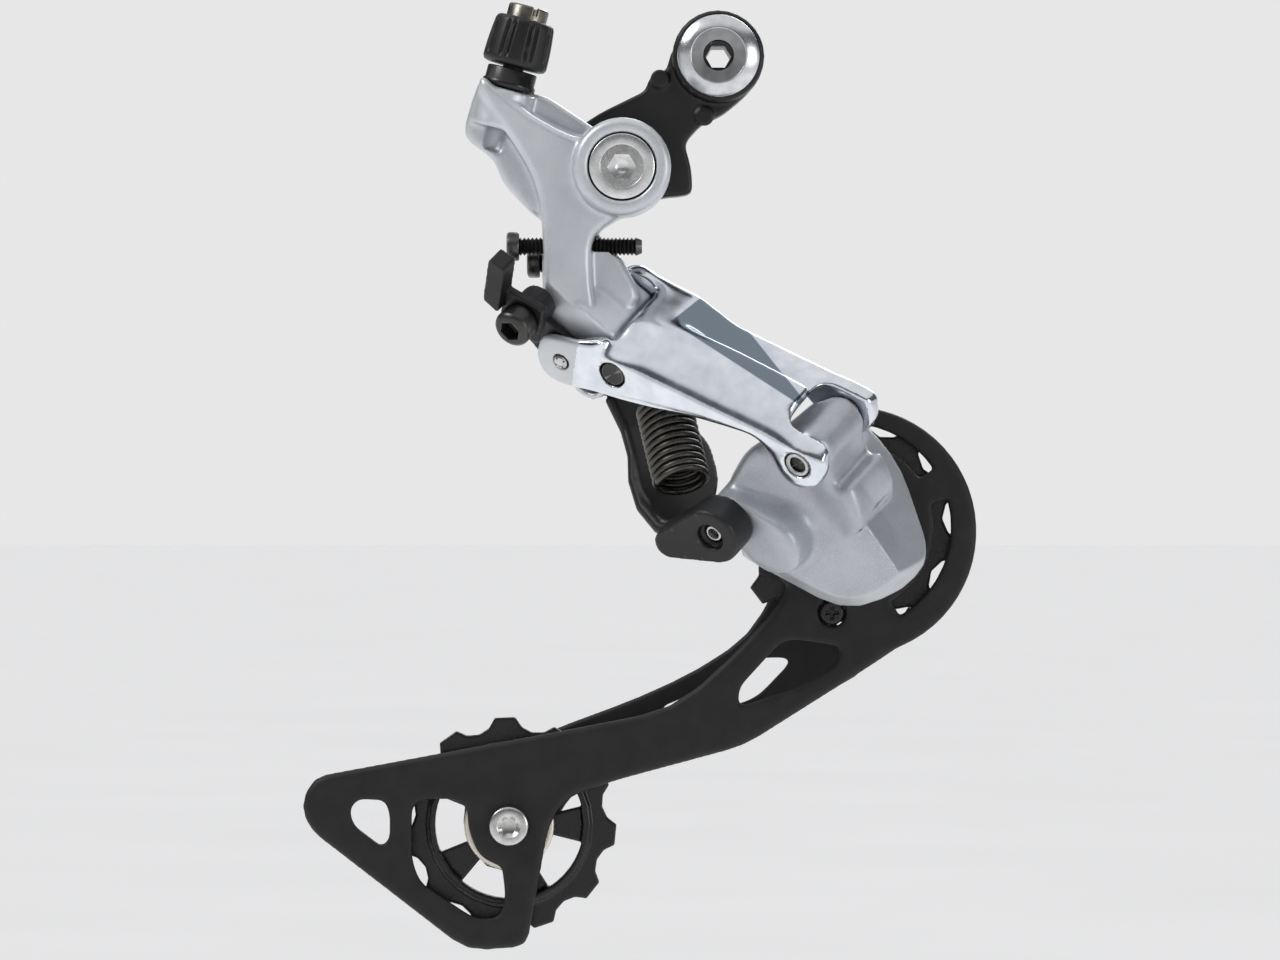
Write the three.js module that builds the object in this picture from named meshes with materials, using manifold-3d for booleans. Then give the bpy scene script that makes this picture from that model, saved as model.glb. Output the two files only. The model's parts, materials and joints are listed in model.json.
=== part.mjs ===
// Rear derailleur with a slanted four-pin parallelogram, drawn in millimetres.
// +X points to the front of the bicycle, +Y inboard towards the wheel, +Z up.
// The origin is on the hanger bolt axis, in the face that meets the frame hanger.

import * as THREE from 'three';
import { mergeVertices } from 'three/addons/utils/BufferGeometryUtils.js';
import Module from 'manifold-3d';

const wasm = await Module();
wasm.setup();

// ---------------------------------------------------------------- driving dimensions

const FIT = 0.3; // gap left between pieces that touch or turn in each other
const ROUND = 28; // sides of a round part that is seen
const SMALL_ROUND = 14; // sides of a small or hidden round part

// Mounting link and upper pivot
const B_AXIS = { x: -19.4, z: -22.9 };
const LINK_BACK = 0;
const LINK_EYE_FRONT = -9;
const LINK_ARM_FRONT = -7;
const LINK_EYE_RADIUS = 9.3;
const HANGER_BOLT_RADIUS = 4.9;
const HANGER_HEAD_RADIUS = 8.3;
const HANGER_SHANK_RADIUS = 6.4;
const HANGER_HEX = 5;
const HANGER_THREAD_LENGTH = 9;
const LINK_PADS = [{ x: -11.8, z: -4.5 }, { x: -2.8, z: -12.1 }];
const LINK_PAD_RADIUS = 1.9;
const LINK_PAD_HEIGHT = 0.7;

// Upper body
const B_EYE_RADIUS = 9.85;
const B_FRONT = -25;
const B_BACK = LINK_ARM_FRONT - FIT;
const FLANGE_FRONT = -13.4; // rear flange that stiffens the arm to the barrel
const B_BORE_RADIUS = 6.9;
const B_AXLE_RADIUS = 5;
const B_AXLE_HEAD_RADIUS = 6.6;

// Slanted link pivots. The parallelogram is described in link coordinates:
// along = from pin A to pin B, over = outboard and up, out = along the pins, outboard.
const PIN_OUT = new THREE.Vector3(-0.5051, -0.6691, -0.5451).normalize();
const ALONG = new THREE.Vector3(0.8549, -0.3013, -0.4223).normalize();
const OVER = new THREE.Vector3().crossVectors(PIN_OUT, ALONG).normalize();
const PIN_A = new THREE.Vector3(-21.5, -21, -64.6);
const LINK_LENGTH = 42.9;
const OFFSET_ALONG = -10.7; // from pin A to pin C, and from pin B to pin D
const OFFSET_OVER = -17.2;
const LINK_WIDTH = 24; // outer link, front ear face to back ear face
const EAR = 4;
const PIN_RADIUS = 2.6;
const EAR_RADIUS = 6.5;
const WEB_UNDER = 5;
const WEB_TOP = 8.2;
const D_FACE = 11.8; // outboard end of pin D
const INNER_BOSS_RADIUS = 6.2;
const INNER_BOSS_LENGTH = 6.8;
const PIN_D_RADIUS = 1.8;
const COUNTERBORE = { radius: 2.9, depth: 1.5 };
const C_BOSS_NEAR = -16;
const C_BOSS_FAR = -23;

// Lower body and cage pivot
const P_AXIS = { x: 26.6, z: -95 };
const P_BACK = 4.2;
const P_SHOULDER = -12;
const P_FACE = -26;
const P_INSET = 4.4; // how far the lower body narrows from its shoulder to its front
const P_BORE_FRONT = -12;
const P_BUSH_FRONT = -19;
const P_BORE_RADIUS = 12.2;
const P_AXLE_RADIUS = 5;
const P_BUSH_WALL = 1.6;

// Cage and pulleys
const OUTER_PLATE_FRONT = 4.6;
const OUTER_PLATE_BACK = 7.2;
const PULLEY_PLANE = 12;
const INNER_PLATE_FRONT = 16.8;
const INNER_PLATE_BACK = 18.6;
const TENSION_AXIS = { x: -42.5, z: -155.9 };
const RING_CENTRE = { x: 27.3, z: -96 };
const RING_RADIUS = 25.5;
const RING_INSIDE = 21;
const HUB_DISC_RADIUS = 17.4;
const PULLEY_TEETH = 11;
const GUIDE_TIP_RADIUS = 23.5;
const GUIDE_ROOT_RADIUS = 19.5;
const TENSION_TIP_RADIUS = 21.9;
const TENSION_ROOT_RADIUS = 19.3;
const TOOTH_TIP = 4.2;
const PULLEY_BORE = 4.3;
const PULLEY_BOLT_RADIUS = 2.4;
const PULLEY_HEAD_RADIUS = 4.05;
const CAP_RADIUS = 9.2;

// Barrel adjuster, leaning forward at the rear of the upper body
const BARREL_FOOT = new THREE.Vector3(-42.6, -14, -7.7);
const BARREL_UP = new THREE.Vector3(0.258, 0, 0.966).normalize();

const CABLE_BORE = 2.2;

// Cable arm at the rear of the outer link, in link coordinates
const ARM_PIN = { along: -11.6, over: -3 };
const ARM_PIN_RADIUS = 1.5;
const CLAMP = { along: -19.6, over: 7 };
const CLAMP_BOLT_RADIUS = 2.2;

// Screws in the rear face of the upper body
const SCREW_RADIUS = 1.9;
const SCREW_HEAD_RADIUS = 2.9;

// ---------------------------------------------------------------- helpers

const HALF_TURN = Math.PI;
const FULL_TURN = 2 * Math.PI;

function solid(geometry) {
  if (geometry instanceof wasm.Manifold) {
    return geometry;
  }
  const bare = geometry.index ? geometry.toNonIndexed() : geometry.clone();
  bare.deleteAttribute('normal');
  bare.deleteAttribute('uv');
  const merged = mergeVertices(bare, 1e-4);
  return new wasm.Manifold(new wasm.Mesh({
    numProp: 3,
    vertProperties: new Float32Array(merged.attributes.position.array),
    triVerts: new Uint32Array(merged.index.array),
  }));
}

function join(...geometries) {
  return geometries.map(solid).reduce((whole, piece) => whole.add(piece));
}

function cut(whole, ...geometries) {
  return geometries.map(solid).reduce((rest, piece) => rest.subtract(piece), solid(whole));
}

function geometryOf(body) {
  const mesh = body.getMesh();
  const geometry = new THREE.BufferGeometry();
  geometry.setAttribute('position', new THREE.BufferAttribute(mesh.vertProperties, 3));
  geometry.setIndex(new THREE.BufferAttribute(mesh.triVerts, 1));
  return geometry;
}

// Turns a geometry built round its own Z axis so that Z points along a direction from a point.
function aim(geometry, from, direction) {
  const turn = new THREE.Quaternion().setFromUnitVectors(new THREE.Vector3(0, 0, 1), direction);
  return geometry.applyQuaternion(turn).translate(from.x, from.y, from.z);
}

// Round bar along a direction, from start to end measured from a point.
function bar(from, direction, radius, start, end, sides = ROUND, endRadius = radius) {
  const geometry = new THREE.CylinderGeometry(endRadius, radius, end - start, sides);
  geometry.rotateX(HALF_TURN / 2).translate(0, 0, (start + end) / 2);
  return aim(geometry, from, direction);
}

const INBOARD = new THREE.Vector3(0, 1, 0);

// Round bar along Y between two depths.
function barY(axis, radius, front, back, sides = ROUND, backRadius = radius) {
  return bar(new THREE.Vector3(axis.x, 0, axis.z), INBOARD, radius, front, back, sides, backRadius);
}

// Closed turned body: half profile as [radius, height] pairs, turned about a direction.
function turned(from, direction, profile, sides = ROUND) {
  const points = [...profile, profile[0]].map(([radius, height]) => new THREE.Vector2(radius, height));
  if (THREE.ShapeUtils.isClockWise(points)) {
    points.reverse();
  }
  const geometry = new THREE.LatheGeometry(points, sides);
  geometry.rotateX(HALF_TURN / 2);
  return aim(geometry, from, direction);
}

function turnedY(axis, profile, sides = ROUND) {
  return turned(new THREE.Vector3(axis.x, 0, axis.z), INBOARD, profile, sides);
}

// Closed outline through corners given as [x, y, corner radius].
function outline(corners) {
  const target = new THREE.Shape();
  corners.forEach(([x, y, radius = 0], i) => {
    const corner = new THREE.Vector2(x, y);
    const [px, py] = corners[(i + corners.length - 1) % corners.length];
    const [nx, ny] = corners[(i + 1) % corners.length];
    const toPrevious = new THREE.Vector2(px, py).sub(corner);
    const toNext = new THREE.Vector2(nx, ny).sub(corner);
    const reach = Math.min(radius, toPrevious.length() * 0.45, toNext.length() * 0.45);
    const start = corner.clone().add(toPrevious.setLength(reach));
    const end = corner.clone().add(toNext.setLength(reach));
    if (i === 0) {
      target.moveTo(start.x, start.y);
    } else {
      target.lineTo(start.x, start.y);
    }
    if (reach > 0) {
      target.quadraticCurveTo(x, y, end.x, end.y);
    }
  });
  target.closePath();
  return target;
}

function disc(x, y, radius) {
  return new THREE.Shape().absarc(x, y, radius, 0, FULL_TURN, false);
}

// Plate with its outline in X and Z, between two depths, with a chamfer all round.
function plateY(shape, front, back, chamfer = 0, curveSegments = 2) {
  const geometry = new THREE.ExtrudeGeometry(shape, {
    depth: back - front - 2 * chamfer,
    bevelEnabled: chamfer > 0,
    bevelThickness: chamfer,
    bevelSize: chamfer,
    bevelOffset: -chamfer,
    bevelSegments: 1,
    curveSegments,
  });
  return geometry.rotateX(HALF_TURN / 2).translate(0, back - chamfer, 0);
}

const LINK_FRAME = new THREE.Matrix4().makeBasis(ALONG, OVER, PIN_OUT).setPosition(PIN_A);

// A point given in link coordinates.
function linkPoint(along, over, out) {
  return new THREE.Vector3(along, over, out).applyMatrix4(LINK_FRAME);
}

// Plate with its outline in the plane of the parallelogram, between two stations along the pins.
function plateLink(shape, far, near, chamfer = 0, curveSegments = 2) {
  const geometry = new THREE.ExtrudeGeometry(shape, {
    depth: near - far - 2 * chamfer,
    bevelEnabled: chamfer > 0,
    bevelThickness: chamfer,
    bevelSize: chamfer,
    bevelOffset: -chamfer,
    bevelSegments: 1,
    curveSegments,
  });
  return geometry.translate(0, 0, far + chamfer).applyMatrix4(LINK_FRAME);
}

// Round bar on a pivot of the parallelogram.
function barLink(along, over, radius, far, near, sides = ROUND) {
  return bar(linkPoint(along, over, 0), PIN_OUT, radius, far, near, sides);
}

// Two round ends joined by straight sides, in the plane of the parallelogram.
function capsule(x1, y1, r1, x2, y2, r2) {
  const heading = Math.atan2(y2 - y1, x2 - x1);
  const spread = Math.acos((r1 - r2) / Math.hypot(x2 - x1, y2 - y1));
  const shape = new THREE.Shape();
  shape.absarc(x1, y1, r1, heading + spread, heading - spread + FULL_TURN, false);
  shape.absarc(x2, y2, r2, heading - spread, heading + spread, false);
  shape.closePath();
  return shape;
}

// Prism along the outer link, its section given as [over, out] corners.
function prismAlong(section, from, to) {
  const geometry = new THREE.ExtrudeGeometry(outline(section), { depth: to - from, bevelEnabled: false });
  const frame = new THREE.Matrix4().makeBasis(OVER, PIN_OUT, ALONG).setPosition(PIN_A);
  return geometry.translate(0, 0, from).applyMatrix4(frame);
}

// Plate square to the outer link's web, its outline in [along, out], between two heights over the pins.
function plateOver(shape, low, high) {
  const geometry = new THREE.ExtrudeGeometry(shape, {
    depth: high - low,
    bevelEnabled: false,
    curveSegments: 4,
  });
  const frame = new THREE.Matrix4().makeBasis(ALONG, PIN_OUT, OVER.clone().negate()).setPosition(PIN_A);
  return geometry.translate(0, 0, -high).applyMatrix4(frame);
}

// Hexagon socket cut, by its width across flats.
function hexBar(from, direction, acrossFlats, start, end) {
  return bar(from, direction, acrossFlats / Math.sqrt(3), start, end, 6);
}

const group = new THREE.Group();

function add(name, geometry, color, roughness, metalness) {
  const material = new THREE.MeshStandardMaterial({ color, roughness, metalness });
  const mesh = new THREE.Mesh(geometry instanceof wasm.Manifold ? geometryOf(geometry) : geometry, material);
  mesh.name = name;
  group.add(mesh);
}

const SILVER = [0xb9bdc1, 0.42, 0.85];
const SILVER_DARK = [0x96999f, 0.42, 0.85];
const POLISHED = [0x9aa3ad, 0.18, 0.95];
const BLACK = [0x1c1c1c, 0.55, 0.3];
const STEEL = [0x8d8f92, 0.3, 1];
const DARK_STEEL = [0x3c3d40, 0.4, 0.9];
const POLYMER = [0x141414, 0.35, 0];
const BUSH = [0x2b2b2b, 0.5, 0.1];

// ---------------------------------------------------------------- mounting link

const ORIGIN = { x: 0, z: 0 };

const upperLink = plateY(disc(0, 0, LINK_EYE_RADIUS), LINK_EYE_FRONT, LINK_BACK, 0.5, 14);
const linkArm = plateY(outline([
  [-9.3, 1.5, 1], [-10.6, -3, 1], [-13.6, -3.6, 1.5], [-14.8, -6.9, 1], [-24, -11.4, 2],
  [-29.6, -15.2, 1], [-28.9, -22.9, 5], [-25.5, -30, 6], [-18, -32, 6], [-11.6, -28.4, 3],
  [-7.8, -28.2, 1.5], [-5.2, -27.6, 1.5], [-5.4, -22.5, 2], [-6.9, -17.5, 1.5], [-3.4, -13.6, 1.5],
  [0.8, -11.8, 1.5], [5.5, -7.9, 2], [8, -4.8, 1],
]), LINK_ARM_FRONT, LINK_BACK, 0.5);
const linkPads = LINK_PADS.map((axis) => (
  barY(axis, LINK_PAD_RADIUS, LINK_ARM_FRONT - LINK_PAD_HEIGHT, LINK_ARM_FRONT + 1)
));
add('b_link_plate', cut(
  join(upperLink, linkArm, ...linkPads),
  barY(ORIGIN, HANGER_SHANK_RADIUS + FIT, LINK_EYE_FRONT - 1, LINK_BACK + 1),
  barY(B_AXIS, B_AXLE_RADIUS + FIT, LINK_ARM_FRONT - 1, LINK_BACK + 1),
), ...BLACK);

// ---------------------------------------------------------------- hanger bolt

const HEAD_FRONT = LINK_EYE_FRONT - 3.2;
const boltBody = turnedY(ORIGIN, [
  [0, HEAD_FRONT + 0.4], [5.7, HEAD_FRONT], [7.4, HEAD_FRONT + 0.2],
  [HANGER_HEAD_RADIUS, HEAD_FRONT + 1.2], [HANGER_HEAD_RADIUS, LINK_EYE_FRONT - FIT],
  [HANGER_SHANK_RADIUS, LINK_EYE_FRONT - FIT], [HANGER_SHANK_RADIUS, LINK_BACK],
  [HANGER_BOLT_RADIUS, LINK_BACK], [HANGER_BOLT_RADIUS, HANGER_THREAD_LENGTH - 0.7],
  [HANGER_BOLT_RADIUS - 0.7, HANGER_THREAD_LENGTH], [0, HANGER_THREAD_LENGTH],
]);
const CLIP_DEPTH = HANGER_THREAD_LENGTH - 2.6;
const CLIP_WIDTH = 1;
const clipGroove = cut(
  barY(ORIGIN, HANGER_BOLT_RADIUS + 1, CLIP_DEPTH, CLIP_DEPTH + CLIP_WIDTH + 2 * FIT),
  barY(ORIGIN, HANGER_BOLT_RADIUS - 0.8, CLIP_DEPTH - 1, CLIP_DEPTH + 3),
);
add('hanger_bolt', cut(
  boltBody,
  hexBar(new THREE.Vector3(), INBOARD, HANGER_HEX, HEAD_FRONT - 1, HANGER_THREAD_LENGTH + 1),
  barY(ORIGIN, 3.3, HEAD_FRONT - 1, HEAD_FRONT + 1.4, ROUND, 2.9),
).subtract(clipGroove), ...STEEL);

const clipShape = new THREE.Shape();
clipShape.absarc(0, 0, HANGER_BOLT_RADIUS + 0.7, 0.5, FULL_TURN - 0.5, false);
clipShape.absarc(0, 0, HANGER_BOLT_RADIUS - 0.5, FULL_TURN - 0.5, 0.5, true);
clipShape.closePath();
const clipFront = CLIP_DEPTH + FIT;
add('bolt_retaining_clip', plateY(clipShape, clipFront, clipFront + CLIP_WIDTH, 0, 12), ...STEEL);

// ---------------------------------------------------------------- upper pivot axle

add('b_axle', cut(
  turnedY(B_AXIS, [
    [0, B_FRONT + 0.3], [B_AXLE_HEAD_RADIUS - 0.4, B_FRONT + 0.3], [B_AXLE_HEAD_RADIUS, B_FRONT + 0.7],
    [B_AXLE_HEAD_RADIUS, B_FRONT + 2.6], [B_AXLE_RADIUS, B_FRONT + 2.6], [B_AXLE_RADIUS, LINK_BACK - 0.4],
    [B_AXLE_RADIUS - 0.4, LINK_BACK], [0, LINK_BACK],
  ]),
  barY(B_AXIS, 4.4, B_FRONT - 0.5, B_FRONT + 1.9, ROUND, 3.1),
  hexBar(new THREE.Vector3(B_AXIS.x, 0, B_AXIS.z), INBOARD, HANGER_HEX, B_FRONT, B_FRONT + 8),
), ...STEEL);

const B_SEAL_FRONT = B_FRONT + 2.6 + FIT;
const B_SEAL_THICKNESS = 1.2;
const B_BUSH_FRONT = B_SEAL_FRONT + B_SEAL_THICKNESS + FIT;
add('b_bush', turnedY(B_AXIS, [
  [B_AXLE_RADIUS + FIT, B_BUSH_FRONT], [B_BORE_RADIUS - FIT, B_BUSH_FRONT],
  [B_BORE_RADIUS - FIT, B_BACK], [B_AXLE_RADIUS + FIT, B_BACK],
]), ...BUSH);

// ---------------------------------------------------------------- upper body

const knuckleArm = plateY(outline([
  [-47.6, -4, 2], [-48.4, -7.4, 3], [-44.3, -13.6, 4], [-40.8, -18.5, 4], [-37.4, -24.2, 4],
  [-35.7, -30, 4], [-34.8, -46.9, 4], [-35.7, -56, 2], [-24, -55.4, 2],
  [-25.6, -46, 4], [-25.6, -36.3, 3], [-19.9, -33, 3], [-13, -29, 3], [-12, -20, 4],
  [-19.4, -14, 4], [-27.4, -17.2, 3], [-31.2, -15.8, 3], [-37.1, -12.6, 4], [-42, -9, 3],
]), -20, B_BACK, 0.9);
const knuckleFlange = plateY(outline([
  [-47.6, -4, 2], [-49.6, -9, 4], [-51.6, -16.4, 2.4], [-45, -21, 3], [-43.6, -25.6, 3],
  [-35.6, -33.9, 3], [-25, -34, 2], [-16, -24, 2], [-24.4, -15, 2], [-35.1, -7.9, 3], [-40, -7.4, 2],
]), FLANGE_FRONT, B_BACK, 0.7);
const knuckleEye = turnedY(B_AXIS, [
  [0, B_FRONT], [B_EYE_RADIUS - 1, B_FRONT], [B_EYE_RADIUS, B_FRONT + 1],
  [B_EYE_RADIUS, B_BACK], [0, B_BACK],
]);
const barrelBoss = bar(BARREL_FOOT, BARREL_UP, 5.6, -7.5, 0.5);

// Block behind the arm that carries the pivot lugs.
const pivotBlock = plateY(outline([
  [-35.6, -36, 3], [-35.2, -55, 3], [-24, -56, 2], [-19.5, -53.6, 2], [-15, -49, 3],
  [-18, -43.6, 3], [-21, -38, 3], [-27, -35, 2],
]), -16, 7, 1.2);
const lugA = plateLink(capsule(0, 0, 4.6, -12, 3, 6), -LINK_WIDTH + EAR + FIT, -EAR - FIT, 0, 4);
const WALL = 3.4;
const lugC = plateLink(
  capsule(OFFSET_ALONG, OFFSET_OVER, 4.2, -20, -6, 6),
  C_BOSS_FAR - FIT - WALL,
  C_BOSS_NEAR + FIT + WALL,
  0,
  4,
);
const SWING = 30; // reach of the cable arm round pin A
const SCREW_AXIS = { y: -14, z: -38.6 };
const LIMIT_Z = -41.6;
const HIGH_LIMIT_Y = -8;
const LOW_LIMIT_Y = -1;
const ALONG_X = new THREE.Vector3(1, 0, 0);
const webSweepA = plateLink(outline([
  [-3, WEB_UNDER - FIT], [2.4, WEB_UNDER - FIT], [5.3, 0], [5.3, -5], [14, -5], [14, 16], [-3, 16],
]), -LINK_WIDTH - FIT, FIT);
add('b_knuckle', cut(
  join(knuckleArm, knuckleFlange, knuckleEye, barrelBoss, pivotBlock, lugA, lugC),
  barY(B_AXIS, B_BORE_RADIUS, B_FRONT - 1, B_BACK + 1),
  barLink(0, 0, SWING, -EAR - FIT, 24, 48),
  barLink(0, 0, 13.9, -LINK_WIDTH - FIT, -LINK_WIDTH + EAR + FIT),
  webSweepA,
  barLink(0, 0, PIN_RADIUS + FIT, -LINK_WIDTH, 0, SMALL_ROUND),
  barLink(OFFSET_ALONG, OFFSET_OVER, INNER_BOSS_RADIUS + 0.5, C_BOSS_FAR - FIT, C_BOSS_NEAR + FIT),
  barLink(OFFSET_ALONG, OFFSET_OVER, PIN_RADIUS + FIT, C_BOSS_FAR - 8, C_BOSS_NEAR + 8, SMALL_ROUND),
  bar(BARREL_FOOT, BARREL_UP, 5.8, 0.5, 8),
  bar(BARREL_FOOT, BARREL_UP, 3.4, -6, 2, SMALL_ROUND),
  bar(BARREL_FOOT, BARREL_UP, CABLE_BORE, -12, 2, SMALL_ROUND),
  bar(new THREE.Vector3(-60, SCREW_AXIS.y, SCREW_AXIS.z), ALONG_X, SCREW_RADIUS + FIT, 0, 60, SMALL_ROUND),
  bar(new THREE.Vector3(-60, HIGH_LIMIT_Y, LIMIT_Z), ALONG_X, SCREW_RADIUS + FIT, 0, 35, SMALL_ROUND),
  bar(new THREE.Vector3(-60, LOW_LIMIT_Y, LIMIT_Z), ALONG_X, SCREW_RADIUS + FIT, 0, 35, SMALL_ROUND),
), ...SILVER);

add('b_seal_ring', turnedY(B_AXIS, [
  [B_AXLE_RADIUS + FIT, B_SEAL_FRONT], [B_BORE_RADIUS - FIT, B_SEAL_FRONT],
  [B_BORE_RADIUS - FIT, B_SEAL_FRONT + B_SEAL_THICKNESS],
  [B_AXLE_RADIUS + FIT, B_SEAL_FRONT + B_SEAL_THICKNESS],
]), ...POLYMER);

add('link_pin_a', barLink(0, 0, PIN_RADIUS, -LINK_WIDTH + 0.4, -0.2, SMALL_ROUND), ...DARK_STEEL);
const PIN_RECESS = 0.4; // how far the ends of a hidden pin lie inside its lug
const pinCFar = C_BOSS_FAR - FIT - WALL + PIN_RECESS;
const pinCNear = C_BOSS_NEAR + FIT + WALL - PIN_RECESS;
add(
  'link_pin_c',
  barLink(OFFSET_ALONG, OFFSET_OVER, PIN_RADIUS, pinCFar, pinCNear, SMALL_ROUND),
  ...DARK_STEEL,
);

// Screw with a cross recess, its head towards -X.
function crossScrew(name, y, z, headX, endX, headLength) {
  const from = new THREE.Vector3(headX, y, z);
  const length = endX - headX;
  const body = turned(from, ALONG_X, [
    [0, 0], [SCREW_HEAD_RADIUS - 0.6, 0], [SCREW_HEAD_RADIUS, 0.6], [SCREW_HEAD_RADIUS, headLength],
    [SCREW_RADIUS, headLength], [SCREW_RADIUS, length - 0.5], [SCREW_RADIUS - 0.5, length], [0, length],
  ], SMALL_ROUND);
  const slot = new THREE.BoxGeometry(2.4, 3, 0.8).translate(headX, y, z);
  const cross = new THREE.BoxGeometry(2.4, 0.8, 3).translate(headX, y, z);
  add(name, cut(body, slot, cross), ...BLACK);
}

crossScrew('b_tension_screw', SCREW_AXIS.y, SCREW_AXIS.z, -42.6, -15.4, 2.8);
crossScrew('high_limit_screw', HIGH_LIMIT_Y, LIMIT_Z, -38.6, -27, 2.4);
crossScrew('low_limit_screw', LOW_LIMIT_Y, LIMIT_Z, -38.6, -27, 2.4);

// ---------------------------------------------------------------- barrel adjuster

add('barrel_collar', turned(BARREL_FOOT, BARREL_UP, [
  [CABLE_BORE + 0.2, 0.8], [5, 0.8], [5.4, 1.2], [5.4, 3.4], [4.6, 4.8], [CABLE_BORE + 0.2, 4.8],
]), ...SILVER_DARK);

const RIBS = 12;
const CAP_START = 5.3;
const CAP_END = 15.2;
const ribShape = new THREE.Shape();
for (let rib = 0; rib < RIBS; rib += 1) {
  const step = FULL_TURN / RIBS;
  const rim = 6.5;
  const groove = 5.9;
  [[0, rim], [0.45, rim], [0.55, groove], [0.9, groove]].forEach(([part, radius], i) => {
    const angle = (rib + part) * step;
    const x = radius * Math.cos(angle);
    const y = radius * Math.sin(angle);
    if (rib === 0 && i === 0) {
      ribShape.moveTo(x, y);
    } else {
      ribShape.lineTo(x, y);
    }
  });
}
ribShape.closePath();
const ribbed = new THREE.ExtrudeGeometry(ribShape, { depth: CAP_END - CAP_START, bevelEnabled: false });
aim(ribbed.translate(0, 0, CAP_START), BARREL_FOOT, BARREL_UP);
const taper = turned(BARREL_FOOT, BARREL_UP, [
  [0, CAP_START], [6.7, CAP_START], [5.9, CAP_END - 0.8], [5, CAP_END], [0, CAP_END],
], SMALL_ROUND);
const FERRULE_RADIUS = 4.1;
const FERRULE_START = CAP_END - 6;
const FERRULE_END = CAP_END + 2.8;
const FERRULE_FLOOR = FERRULE_START + 2;
const HOUSING_RADIUS = 2.6; // room for the cable housing
const ferruleTop = BARREL_FOOT.clone().addScaledVector(BARREL_UP, FERRULE_END);
add('barrel_adjuster', cut(
  join(
    solid(ribbed).intersect(solid(taper)),
    bar(BARREL_FOOT, BARREL_UP, CABLE_BORE, -5.4, CAP_START + 1, SMALL_ROUND),
  ),
  bar(BARREL_FOOT, BARREL_UP, FERRULE_RADIUS + FIT, FERRULE_START - FIT, CAP_END + 1),
  bar(BARREL_FOOT, BARREL_UP, 1, -7, CAP_END, 12),
), ...POLYMER);

add('barrel_ferrule', cut(
  turned(BARREL_FOOT, BARREL_UP, [
    [1, FERRULE_START], [FERRULE_RADIUS, FERRULE_START], [FERRULE_RADIUS, FERRULE_END - 0.6],
    [FERRULE_RADIUS - 0.6, FERRULE_END], [HOUSING_RADIUS, FERRULE_END],
    [HOUSING_RADIUS, FERRULE_FLOOR], [1, FERRULE_FLOOR],
  ]),
  aim(new THREE.BoxGeometry(1.2, 12, 4), ferruleTop, BARREL_UP),
), ...DARK_STEEL);

// ---------------------------------------------------------------- outer link

const earOutline = outline([
  [-17.4, 1.6, 2], [-18, -4.9, 2], [-15.3, -9.2, 2], [-9.9, -9.3, 2], [-1.9, -6.9, 4], [7.3, -5.2, 8],
  [21, -1, 8], [33, 1.2, 4], [36.6, -1.6, 3], [40, -6, 3], [44, -6.6, 4], [48.4, -4, 4], [49.2, 1, 4],
  [47.6, 5.4, 3], [40, WEB_TOP, 6], [20, WEB_TOP, 2], [-2, WEB_TOP, 2], [-6, 5, 3],
]);
const linkFront = plateLink(earOutline, -EAR, 0, 0.6);
const web = plateLink(outline([
  [-2.4, WEB_UNDER], [5.6, WEB_UNDER, 1], [8.4, 2.2, 1], [34, 2.2, 1], [37, WEB_UNDER, 1],
  [45, WEB_UNDER, 1], [47.6, 2.4, 0.6], [48.8, 3.2, 0.6], [47.6, 5.4, 3], [40, WEB_TOP, 6],
  [20, WEB_TOP + 1, 12], [-2.4, WEB_TOP, 1],
]), -LINK_WIDTH, 0);
const earA = capsule(0, 0, EAR_RADIUS, -7, 4.4, 5);
const backEarA = plateLink(earA, -LINK_WIDTH, -LINK_WIDTH + EAR, 0, 4);
const earB = capsule(LINK_LENGTH, 0, EAR_RADIUS - 0.4, 30, 3.6, 3.4);
const backEarB = plateLink(earB, -LINK_WIDTH, -LINK_WIDTH + EAR, 0, 4);
const backTieA = plateLink(outline([
  [-6, 3], [16, 4.6], [16, WEB_TOP], [-4, WEB_TOP + 0.4],
]), -LINK_WIDTH, -LINK_WIDTH + EAR);

// The front face leans back to a ridge above its pins.
const LEAN_START = 3.6; // clear of the pin bores and above the pocket under the web
const RIDGE = { over: 9.4, out: -11 };
const leanCut = prismAlong([
  [LEAN_START, 0], [RIDGE.over, RIDGE.out], [RIDGE.over + 8, RIDGE.out],
  [RIDGE.over + 8, 4], [LEAN_START, 4],
], -3.4, 60);
const corner = prismAlong([
  [1.2, -EAR - 0.2], [2.4, -9], [RIDGE.over, -9], [RIDGE.over, -3.5], [1.2, -3.5],
], 5.5, 36.5);
// The web is lower behind its ridge and open at the front, where the lower body comes up between the ears.
const backStep = plateLink(outline([
  [2, WEB_TOP + 1.4], [15, 5.6], [60, 5.6], [60, 20], [2, 20],
]), -LINK_WIDTH - 1, -14);
const NOTCH = { along: 37.4, near: -EAR - 0.1, far: -LINK_WIDTH + EAR };
const notch = plateOver(outline([
  [NOTCH.along, NOTCH.far, 4], [60, NOTCH.far], [60, NOTCH.near], [NOTCH.along, NOTCH.near, 4],
]), 1, 16);
const lobeStep = plateLink(outline([[-30, -20], [-8.2, -20], [-8.2, 12], [-30, 12]]), -EAR - 1, -2);
add('outer_link', cut(
  join(linkFront, web, backEarA, backTieA, backEarB, corner),
  leanCut,
  backStep,
  notch,
  lobeStep,
  barLink(0, 0, PIN_RADIUS + FIT, -LINK_WIDTH - 1, 1),
  barLink(LINK_LENGTH, 0, PIN_RADIUS + FIT, -LINK_WIDTH - 1, 1),
  barLink(ARM_PIN.along, ARM_PIN.over, ARM_PIN_RADIUS + FIT, -EAR - 1, 1, SMALL_ROUND),
), ...POLISHED);

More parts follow.
